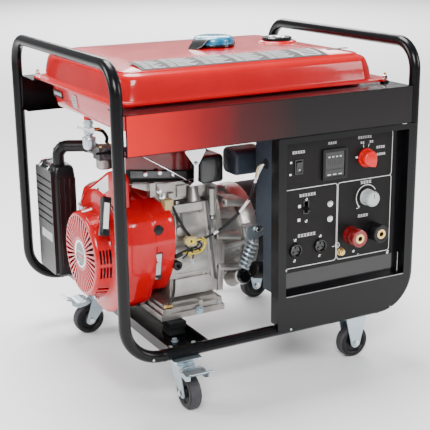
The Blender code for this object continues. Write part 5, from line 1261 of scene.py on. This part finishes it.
def cylinder():
    fins = Piece("cylinder_fins")
    # the fins, block and pillars are coloured dark as painted shade
    for k in range(8):
        z = 0.3985 + k * 0.0074
        fins.prism(rect(-0.166, EY - 0.092, -0.045, EY + 0.092, 0.012), z, z + 0.0022, "Z", PAINTED_SHADE_METAL)
    fins.box(at_shaft(-0.155, -0.066, 0.3973), at_shaft(-0.056, 0.066, 0.4547), PAINTED_SHADE_METAL)
    for x in (-0.15, -0.06):
        for y in (-0.058, 0.058):
            fins.rod(at_shaft(x, y, 0.3973), at_shaft(x, y, 0.4547), 0.01, PAINTED_SHADE_METAL, 20)
    # the cast deck in front of the barrel, with its tabs
    deck = rounded([(-0.255, 0.44), (-0.252, 0.45), (-0.16, 0.44), (-0.088, 0.429),
                    (-0.06, 0.424), (-0.048, 0.418), (-0.048, 0.3975), (-0.19, 0.3975),
                    (-0.216, 0.425)], [0.003, 0.003, 0.01, 0.008, 0.006, 0.006, 0.002, 0.006,
                                        0.01], 4)
    fins.prism(deck, EY - 0.106, EY - 0.088, "Y", CAST)
    for x0, x1, z0, z1, out in ((-0.217, -0.2035, 0.414, 0.445, 0.01),
                                (-0.198, -0.16, 0.426, 0.44, 0.003),
                                (-0.15, -0.128, 0.404, 0.43, 0.005),
                                (-0.098, -0.082, 0.408, 0.426, 0.004),
                                (-0.172, -0.158, 0.4, 0.416, 0.008)):
        fins.box((x0, EY - 0.106 - out, z0), (x1, EY - 0.1, z1), CAST)
    fins.box((-0.188, EY - 0.129, 0.384), (-0.168, EY - 0.108, 0.406), CREAM)
    fins.bolt((-0.189, EY - 0.118, 0.413), (0, -1, 0), 0.0052, CHROME)
    fins.bolt((-0.195, EY - 0.116, 0.426), (0, -1, 0), 0.0045, CHROME)
    fins.done(["cylinder_block"], bevel=0.0007, slot="cast_aluminium")
    head = Piece("cylinder_head_fins")
    # the head's fins and block are coloured dark as painted shade
    for k in range(5):
        z = 0.4552 + k * 0.0076
        head.prism(rect(-0.168, EY - 0.086, -0.042, EY + 0.086, 0.014), z, z + 0.0024, "Z",
                   PAINTED_SHADE_METAL)
    head.box(at_shaft(-0.158, -0.068, 0.4552), at_shaft(-0.052, 0.068, 0.493), PAINTED_SHADE_METAL)
    head.prism(rect(-0.152, EY - 0.044, -0.056, EY + 0.059, 0.01), 0.492, 0.5105, "Z", CAST_DARK)
    head.prism(rect(-0.146, EY - 0.038, -0.062, EY + 0.053, 0.008), 0.51, 0.515, "Z", CAST_DARK)
    for x, y in ((-0.143, -0.035), (-0.065, -0.035), (-0.143, 0.05), (-0.065, 0.05)):
        head.bolt(at_shaft(x, y, 0.5103), (0, 0, 1), 0.0042, head=0.004)
    head.rod(at_shaft(-0.1, 0.04, 0.49), at_shaft(-0.1, 0.066, 0.508), 0.007, WHITE, 16)
    # dark heat shield over the front of the head, black as painted shade over the fins
    shield = [(-0.262, 0.448), (-0.262, 0.515), (-0.092, 0.515), (-0.085, 0.506),
              (-0.085, 0.43), (-0.11, 0.433)]
    head.prism(shield, EY - 0.0935, EY - 0.0915, "Y", PAINTED_SHADE_METAL)
    # the red shroud's upper duct over the cylinder: its red in shade, painted as dark red
    head.prism([(-0.262, 0.476), (-0.262, 0.515), (-0.098, 0.515), (-0.098, 0.456)], EY - 0.0945,
               EY - 0.093, "Y", MAROON_AND_SHADED_RED)
    head.done(["cylinder_head"], bevel=0.0005, slot="cast_aluminium")

    can = Piece("muffler_can")
    rings = []
    for x, k in ((-0.03, 0.86), (-0.0285, 0.93), (-0.0245, 0.985), (-0.02, 1.0), (0.036, 1.0),
                 (0.0405, 0.985), (0.0435, 0.93), (0.045, 0.86)):
        c = at_shaft(x, -0.128, 0.474)
        ring = []
        for u, v in rect(-0.032 * k, -0.029 * k, 0.032 * k, 0.029 * k, 0.014 * k, 6):
            ring.append((x, c.y + u, c.z + v))
        rings.append(ring)
    can.loft(rings, CASEGREY)
    rings = []
    for y, k in ((-0.15, 0.8), (-0.149, 0.9), (-0.146, 0.97), (-0.14, 1.0), (-0.1, 1.0)):
        rings.append([(-0.083 + u * k, EY + y, 0.4665 + v * k)
                      for u, v in rect(-0.0285, -0.031, 0.0285, 0.031, 0.008, 5)])
    can.loft(rings, HEAT)
    can.rod(at_shaft(-0.085, -0.108, 0.472), at_shaft(-0.085, -0.087, 0.472), 0.013, HEAT, 24)
    can.rod(at_shaft(0.005, -0.128, 0.444), at_shaft(0.005, -0.128, 0.446), 0.009, HEAT, 20)
    can.done(["muffler"], bevel=0.001, slot="heat_black")
    strap = Piece("muffler_strap")
    # a bright bracket that narrows down to a foot on the deck
    shape = rounded([(-0.15, 0.514), (-0.095, 0.514), (-0.116, 0.48), (-0.1175, 0.444),
                     (-0.108, 0.44), (-0.108, 0.436), (-0.137, 0.438), (-0.127, 0.444),
                     (-0.126, 0.48)], [0.003, 0.003, 0.008, 0.003, 0.001, 0.001, 0.001, 0.003,
                                          0.008], 4)
    strap.prism(shape, EY - 0.148, EY - 0.1465, "Y", CHROME)
    strap.box((-0.137, EY - 0.148, 0.4355), (-0.106, EY - 0.102, 0.4375), CHROME)
    strap.bolt((-0.1215, EY - 0.148, 0.485), (0, -1, 0), 0.0034)
    strap.tube([(-0.236, -0.12, 0.508), (-0.18, -0.12, 0.4735), (-0.121, -0.12, 0.437)],
               0.0013, CHROME, 8)
    strap.tube([(-0.262, -0.099, 0.448), (-0.18, -0.102, 0.44), (-0.11, -0.104, 0.442)],
               0.0014, STEEL, 8)
    strap.done(bevel=0.0005)


def intake():
    body = Piece("carburettor_casting")
    x = -0.249
    body.box(at_shaft(-0.269, 0.036, 0.47), at_shaft(-0.229, 0.074, 0.5), CAST_DARK)
    body.rod(at_shaft(x, 0.03, 0.486), at_shaft(x, 0.078, 0.486), 0.0145, CAST_DARK, 28, edge=0.001)
    body.rod(at_shaft(x, 0.054, 0.448), at_shaft(x, 0.054, 0.472), 0.0195, CAST, 32, edge=0.003)
    body.rod(at_shaft(x, 0.054, 0.446), at_shaft(x, 0.054, 0.45), 0.005, BRASS, 6)
    body.rod(at_shaft(-0.23, 0.054, 0.48), at_shaft(-0.1685, 0.054, 0.48), 0.0115, CAST_DARK, 24)
    body.prism([(EY + 0.054 + u, 0.48 + v) for u, v in rect(-0.02, -0.015, 0.02, 0.015, 0.008)],
               -0.176, -0.169, "X", CAST_DARK)
    body.rod(at_shaft(-0.262, 0.04, 0.499), at_shaft(-0.262, 0.04, 0.5035), 0.0045, BRASS, 16)
    body.rod(at_shaft(-0.236, 0.066, 0.499), at_shaft(-0.236, 0.066, 0.5035), 0.004, BRASS, 16)
    body.done(["carburettor"], bevel=0.0008, slot="cast_aluminium")
    finish_node("choke_lever", PLASTIC, 0.0006)

    case = Piece("air_cleaner_case")
    x0, x1 = -0.344, -0.281
    y0, y1 = EY + 0.157, EY + 0.271
    z0, z1 = 0.171, 0.439
    rings = []
    for z, inset in ((z0, 0.006), (z0 + 0.002, 0.002), (z0 + 0.008, 0.0), (z1 - 0.03, 0.0),
                     (z1 - 0.01, 0.002), (z1 - 0.003, 0.005), (z1, 0.01)):
        rings.append([(u, v, z) for u, v in rect(x0 + 0.008 + inset, y0 + inset, x1 - inset,
                                                 y1 - inset, 0.01, 5)])
    case.loft(rings, PLASTIC)
    # lid on the -X side, with louvres over its upper half
    case.prism([(u, v) for u, v in rect(y0 + 0.003, z0 + 0.004, y1 - 0.003, z1 - 0.012, 0.008)],
               x0 + 0.002, x0 + 0.012, "X", PLASTIC)
    for k in range(7):
        z = 0.405 - k * 0.017
        tilt = (Matrix.Translation((x0 + 0.004, (y0 + y1) / 2, z))
                @ Matrix.Rotation(math.radians(-38), 4, "Y"))
        case.box((-0.0055, -0.048, -0.0012), (0.006, 0.048, 0.0012), SHINE, tilt)
    case.box((x0 + 0.001, y0 + 0.014, 0.256), (x0 + 0.003, y1 - 0.03, 0.276), LABEL)
    # ribs on the front side
    for k in range(4):
        x = x0 + 0.02 + k * 0.0125
        case.box((x, y0 - 0.0006, z0 + 0.02), (x + 0.0035, y0 + 0.004, z1 - 0.03), SHINE)
    # wire clips over the top
    for y in (y0 + 0.03, y1 - 0.034):
        case.tube(smooth_path([(x0 + 0.006, y, z1 - 0.034), (x0 + 0.004, y, z1 - 0.012),
                               (x0 + 0.016, y + 0.003, z1 + 0.001), (x0 + 0.034, y + 0.008, z1 + 0.0008),
                               (x0 + 0.044, y + 0.01, z1 - 0.004)], 5), 0.0016, CHROME, 8)
        case.tube(smooth_path([(x0 + 0.01, y + 0.014, z1 - 0.004), (x0 + 0.022, y + 0.016, z1 + 0.0008),
                               (x0 + 0.034, y + 0.008, z1 + 0.0008)], 5), 0.0014, CHROME, 8)
    route = [at_shaft(-0.312, 0.185, 0.425), at_shaft(-0.312, 0.185, 0.482)]
    path = [route[0]]
    corners = [route[0], route[1], at_shaft(-0.249, 0.15, 0.482), at_shaft(-0.249, 0.079, 0.482)]
    for i in (1, 2):
        path += fillet(corners[i - 1], corners[i], corners[i + 1], 0.022, 8)
    path.append(corners[-1])
    case.tube(path, 0.0138, PLASTIC, 24)
    for k in (3, 6, 12, 15):
        p, q = path[k], path[k + 1]
        case.rod(p, p + (q - p).normalized() * 0.003, 0.0152, PLASTIC, 28)
    case.done(["air_cleaner"], bevel=0.001, slot="black_plastic")

    linkage = Piece("governor_linkage")
    spring = []
    for k in range(120):
        t = k / 119
        a = Vector((-0.2, -0.066, 0.468)).lerp(Vector((-0.145, -0.068, 0.44)), t)
        w = 2 * math.pi * 18 * t
        spring.append(a + Vector((0.3, 0, 0.55)) * 0.0055 * math.cos(w)
                      + Vector((0, 1, 0)) * 0.0032 * math.sin(w))
    linkage.tube(spring, 0.0006, STEEL, 6)
    rail = rounded([(-0.255, 0.459), (-0.121, 0.442), (-0.121, 0.457), (-0.255, 0.4745)],
                   [0.002] * 4, 3)
    linkage.prism(rail, EY - 0.103, EY - 0.101, "Y", CAST_DARK)
    for x, z in ((-0.222, 0.464), (-0.188, 0.463), (-0.156, 0.456)):
        linkage.lathe([(0, 0.005), (0.0044, 0.0044), (0.0064, 0.0012), (0.0064, 0), (0, 0)],
                      (x, EY - 0.103, z), (0, -1, 0), CHROME, 24)
    linkage.done(bevel=0.0004)


def alternator():
    core = Piece("alternator_core")
    start = at_shaft(0, 0, SZ)
    core.lathe([(0.08, 0.0203), (0.1, 0.0203), (0.105, 0.023), (0.11, 0.033),
                (0.112, 0.042), (0.112, 0.056), (0.1075, 0.058), (0.1075, 0.208),
                (0.112, 0.209), (0.112, 0.215), (0.0785, 0.215), (0.0785, 0.06)], start,
               (1, 0, 0), CAST, 64, closed=True,
               mats=[CAST] * 6 + [IRON] + [CAST] * 5)
    for k in range(36):
        x = 0.06 + k * 0.0041
        core.lathe([(0.1092, 0.0018), (0.1092, 0), (0.107, 0), (0.107, 0.0018)],
                   at_shaft(x, 0, SZ), (1, 0, 0), IRON, 48, closed=True)
    for deg in TIE_BOLTS:
        t = math.radians(deg)
        y, z = 0.106 * math.cos(t), 0.106 * math.sin(t)
        core.rod(at_shaft(0.045, y * 1.02, SZ + z * 1.02), at_shaft(0.215, y * 1.02, SZ + z * 1.02),
                 0.0032, ZINC, 14)
    core.done(["alternator_housing"], bevel=0.0006, slot="steel")
    finish_node("alternator_rotor", COPPER, 0.001)
    finish_node("crankshaft", STEEL, 0.001)
    finish_node("flywheel", CAST_DARK, 0.0006)
    profile = [(0.112, 0.0), (0.112, 0.009), (0.109, 0.015), (0.1, 0.04), (0.096, 0.044),
               (0.08, 0.049), (0.05, 0.0497), (0.026, 0.0497)]
    place = Matrix.Translation(at_shaft(0.2153, 0, SZ)) @ toward((1, 0, 0))

    def is_open(j, k):
        """Air slots in the bell's shoulder and in its end."""
        return j in (2, 5) and k % 6 in (1, 2, 3)

    bell = pierced_sheet("alternator_bell", profile, place, 96, is_open, CAST)
    sheet = bell.modifiers.new("sheet", "SOLIDIFY")
    sheet.thickness = 0.003
    sheet.offset = -1.0
    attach(bell, M)
    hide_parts("alternator_end_cover")
    extra = Piece("alternator_foot")
    extra.lathe([(0.013, 0.049), (0.026, 0.049), (0.026, 0.029), (0.013, 0.029)],
                at_shaft(0.2153, 0, SZ), (1, 0, 0), CAST, 40, closed=True)
    extra.box(at_shaft(0.2163, -0.075, 0.1503), at_shaft(0.2243, 0.075, 0.2), CAST)
    extra.box(at_shaft(0.205, -0.075, 0.1503), at_shaft(0.255, 0.075, 0.156), CAST)
    for s in (-1, 1):
        extra.box(at_shaft(0.2243, s * 0.066 - 0.003, 0.155), at_shaft(0.254, s * 0.066 + 0.003,
                                                                     0.18), CAST)
        extra.bolt(at_shaft(0.236, s * 0.045, 0.156), (0, 0, 1), 0.0065)
    for deg in TIE_BOLTS:
        t = math.radians(deg)
        y, z = 0.1045 * math.cos(t), 0.1045 * math.sin(t)
        extra.bolt(at_shaft(0.2243, y * 0.99, SZ + z * 0.99), (1, 0, 0), 0.0048)
    extra.done(bevel=0.0008)


def mounts():
    for tag, y in (("front", -0.158), ("rear", 0.158)):
        block = Piece(f"engine_mount_{tag}_block")
        c = at_shaft(-0.188, y, 0)
        rings = []
        for z, a, b in ((0.115, 0.02, 0.02), (0.118, 0.0196, 0.0196), (0.123, 0.0186, 0.0186),
                        (0.129, 0.018, 0.018), (0.135, 0.0186, 0.0186), (0.14, 0.0196, 0.0196),
                        (0.1436, 0.02, 0.02)):
            rings.append([(u, v, z) for u, v in rect(c.x - a, c.y - b, c.x + a, c.y + b, 0.003, 3)])
        block.loft(rings, RUBBER)
        block.box((c.x - 0.02, c.y - 0.02, 0.1124), (c.x + 0.02, c.y + 0.02, 0.1152), BLACK)
        s = -1 if tag == "front" else 1
        block.box((c.x - 0.0205, c.y + s * 0.02 - 0.001, 0.129), (c.x + 0.0205,
                  c.y + s * 0.02 + 0.001, 0.1436), RUBBER)
        block.done([f"engine_mount_{tag}"], bevel=0.0008, slot="rubber")
    finish_node("alternator_mount", RUBBER, 0.001)


def wiring():
    lead = Piece("control_lead_pair")
    route = [Vector(p) for p in ((-0.117, -0.125, 0.306), (-0.08, -0.135, 0.32),
                                 (-0.045, -0.155, 0.352), (-0.025, -0.185, 0.392),
                                 (-0.02, -0.207, 0.435), (-0.019, -0.221, 0.472),
                                 (-0.013, -0.224, 0.485), (-0.0002, -0.224, 0.486))]
    path = smooth_path(route, 8)
    for s in (-1, 1):
        strand = []
        for i, p in enumerate(path):
            ahead = (path[min(i + 1, len(path) - 1)] - path[max(i - 1, 0)]).normalized()
            off = ahead.cross(Vector((0, 1, 0))).normalized() * 0.0018 * s
            swing = Vector((0, 1, 0)) * 0.001 * math.sin(i * 0.4 + s)
            strand.append(p + off + swing)
        lead.tube(strand, 0.0015, WIRE, 10)
    for i in (34, 20):
        lead.rod(path[i], path[i + 6], 0.0032, WHITE, 14, edge=0.0005)
    lead.rod(path[8], path[10], 0.0034, WHITE, 14, edge=0.0004)
    for k, (mat, sway) in enumerate(((WHITE, 0.0055), (CREAM, -0.005), (WHITE, 0.0))):
        strand = [p + Vector((sway * math.sin(math.pi * i / 15), -0.003 - 0.001 * k, 0))
                  for i, p in enumerate(path[36:52])]
        lead.tube(strand, 0.0017, mat, 8)
    lead.done(["control_lead"], bevel=0, slot="rubber")

    side = Piece("sensor_wiring")
    place = Matrix.Translation((-0.134, -0.131, 0.312)) @ Matrix.Rotation(math.radians(6), 4, "Y")
    side.box((-0.0125, -0.0075, -0.0105), (0.0105, 0.006, 0.0095), CREAM, place)
    side.box((-0.008, -0.0082, -0.005), (0.006, -0.007, 0.005), YELLOW, place)
    side.box((-0.006, -0.0085, -0.003), (-0.001, -0.0075, 0.003), STRIP, place)
    side.box((-0.0165, -0.0055, -0.006), (-0.012, 0.004, 0.006), CREAM, place)
    # the black rod that leads down to the connector
    side.tube(smooth_path([(-0.172, -0.108, 0.399), (-0.168, -0.118, 0.385),
                           (-0.15, -0.123, 0.345), (-0.134, -0.126, 0.32)]), 0.003, WIRE, 12)
    loops = [
        (YELLOW, [(-0.128, -0.13, 0.309), (-0.112, -0.136, 0.312), (-0.104, -0.138, 0.3),
                  (-0.112, -0.134, 0.288), (-0.134, -0.13, 0.286)]),
        (WIRE, [(-0.128, -0.13, 0.306), (-0.116, -0.133, 0.306), (-0.11, -0.134, 0.298),
                (-0.12, -0.132, 0.29), (-0.15, -0.13, 0.288)]),
        (YELLOW, [(-0.174, -0.138, 0.278), (-0.164, -0.138, 0.288), (-0.148, -0.136, 0.288),
                  (-0.136, -0.133, 0.276), (-0.134, -0.131, 0.268)]),
        (WIRE, [(-0.176, -0.138, 0.284), (-0.16, -0.139, 0.291), (-0.14, -0.136, 0.292),
                (-0.12, -0.134, 0.3), (-0.112, -0.133, 0.31)]),
        (WIRE, [(-0.134, -0.131, 0.292), (-0.131, -0.134, 0.278), (-0.134, -0.133, 0.266),
                (-0.126, -0.132, 0.262)]),
        (YELLOW, [(-0.15, -0.137, 0.292), (-0.14, -0.141, 0.286), (-0.12, -0.14, 0.284),
                  (-0.106, -0.137, 0.292), (-0.1, -0.136, 0.306), (-0.108, -0.134, 0.316)]),
        (WIRE, [(-0.17, -0.139, 0.29), (-0.15, -0.141, 0.296), (-0.13, -0.139, 0.297),
                (-0.118, -0.137, 0.292), (-0.112, -0.135, 0.282)]),
        (WIRE, [(-0.152, -0.138, 0.306), (-0.146, -0.141, 0.298), (-0.15, -0.14, 0.284),
                (-0.16, -0.138, 0.276)]),
        (LABEL, [(-0.128, -0.134, 0.262), (-0.146, -0.133, 0.254), (-0.162, -0.134, 0.247)]),
    ]
    for mat, pts in loops:
        side.tube(smooth_path(pts, 7), 0.0017, mat, 10)
    side.rod((-0.176, -0.138, 0.283), (-0.16, -0.138, 0.288), 0.0048, WIRE, 12)
    side.rod((-0.137, -0.134, 0.27), (-0.13, -0.133, 0.262), 0.0036, GREYPL, 12)
    side.rod((-0.171, -0.1235, 0.262), (-0.171, -0.142, 0.262), 0.0105, PLASTIC, 24, edge=0.002)
    # dark disc in the plug's end: painted shade in its hole
    side.rod((-0.171, -0.142, 0.262), (-0.171, -0.144, 0.262), 0.004, PAINTED_SHADE_BLACK, 16)
    # breather tube and brass union at the foot
    side.tube(smooth_path([(-0.18, -0.138, 0.232), (-0.183, -0.14, 0.205),
                           (-0.19, -0.143, 0.188), (-0.198, -0.145, 0.179)]), 0.003, WIRE, 12)
    side.rod((-0.206, -0.145, 0.1745), (-0.193, -0.145, 0.1745), 0.0058, BRASS, 6)
    side.rod((-0.209, -0.145, 0.1745), (-0.19, -0.145, 0.1745), 0.0034, BRASS, 16)
    side.bolt((-0.126, -0.1489, 0.154), (0, -1, 0), 0.0072, ZINC, head=0.007)
    side.bolt((-0.074, -0.1449, 0.164), (0, -1, 0), 0.004)
    side.done(bevel=0.0002)

    bracket = Piece("stay_bracket")
    plate = rounded([(0.008, 0.29), (0.008, 0.321), (0.03, 0.323), (0.06, 0.32),
                     (0.06, 0.298), (0.034, 0.29)], [0.003] * 6, 4)
    bracket.prism(plate, -0.129, -0.1265, "Y", ZINC)
    bracket.box((0.009, -0.128, 0.318), (0.029, -0.1, 0.3205), ZINC)
    bracket.bolt((0.034, -0.129, 0.311), (0, -1, 0), 0.0056, CHROME)
    bracket.bolt((0.052, -0.129, 0.308), (0, -1, 0), 0.0045, CHROME)
    coil = []
    top, foot = Vector((0.026, -0.127, 0.288)), Vector((0.001, -0.125, 0.224))
    run = (foot - top).normalized()
    across = run.cross(Vector((0, 1, 0))).normalized()
    turns = 7
    for k in range(turns * 20 + 1):
        t = k / (turns * 20)
        w = 2 * math.pi * turns * t
        coil.append(top.lerp(foot, t) + across * 0.011 * math.cos(w)
                    + Vector((0, 1, 0)) * 0.01 * math.sin(w))
    bracket.tube(coil, 0.0032, ZINC, 10)
    bracket.rod(top, foot, 0.006, STEEL, 16)
    bracket.rod((0.03, -0.118, 0.212), (0.064, -0.118, 0.205), 0.02, PLASTIC, 28, edge=0.003)
    bracket.done(bevel=0.0003)


def engine():
    shroud()
    recoil()
    crankcase()
    cylinder()
    intake()
    alternator()
    mounts()
    wiring()


# ------------------------------------------------------------------ stage


def stage():
    """A pale floor and sky, and five soft lights."""
    mesh = bpy.data.meshes.new("floor")
    mesh.from_pydata([(-14, -14, 0), (14, -14, 0), (14, 14, 0), (-14, 14, 0)], [], [(0, 1, 2, 3)])
    floor = bpy.data.objects.new("floor", mesh)
    bpy.context.scene.collection.objects.link(floor)
    mesh.materials.append(material("floor_white", (0.92, 0.92, 0.92), 0.85, grain=0.01, scale=2))

    world = bpy.data.worlds.new("sky")
    bpy.context.scene.world = world
    world.use_nodes = True
    world.node_tree.nodes["Background"].inputs["Color"].default_value = (0.97, 0.985, 1.0, 1.0)
    world.node_tree.nodes["Background"].inputs["Strength"].default_value = 0.42
    for name, at, aim, power, size in (
        ("key", (-1.5, -2.6, 2.4), (0, 0, 0.35), 120, 1.2),
        ("fill", (2.4, -2.0, 1.5), (0.1, 0, 0.3), 40, 1.2),
        ("top", (0.0, 0.8, 3.2), (0, 0, 0.4), 190, 1.6),
        ("rim", (-2.6, 1.2, 1.6), (0, 0, 0.4), 50, 1.0),
        ("back", (3.4, 7.0, 4.2), (3.2, 6.4, 0.0), 800, 5.0),
    ):
        lamp = bpy.data.lights.new(name, "AREA")
        lamp.energy = power
        lamp.size = size
        made = bpy.data.objects.new(name, lamp)
        made.location = at
        made.rotation_euler = (Vector(at) - Vector(aim)).to_track_quat("Z", "Y").to_euler()
        bpy.context.scene.collection.objects.link(made)


def camera():
    """Looks from the front left, a little from above."""
    turn, tilt, roll = math.radians(28.22), math.radians(16.08), math.radians(-0.65)
    ahead = Vector((math.sin(turn) * math.cos(tilt), math.cos(turn) * math.cos(tilt),
                    -math.sin(tilt)))
    right = Vector((math.cos(turn), -math.sin(turn), 0))
    up = right.cross(ahead)
    right, up = (right * math.cos(roll) + up * math.sin(roll),
                 up * math.cos(roll) - right * math.sin(roll))
    data = bpy.data.cameras.new("camera")
    data.lens = 85.2
    data.sensor_width = 36.0
    data.clip_end = 60.0
    made = bpy.data.objects.new("camera", data)
    made.matrix_world = (Matrix.Translation((-1.0898, -2.02375, 0.9802))
                         @ Matrix((right, up, -ahead)).transposed().to_4x4())
    bpy.context.scene.collection.objects.link(made)
    bpy.context.scene.camera = made


camera()
stage()
frame_detail()
casters()
tank()
control_box()
engine()
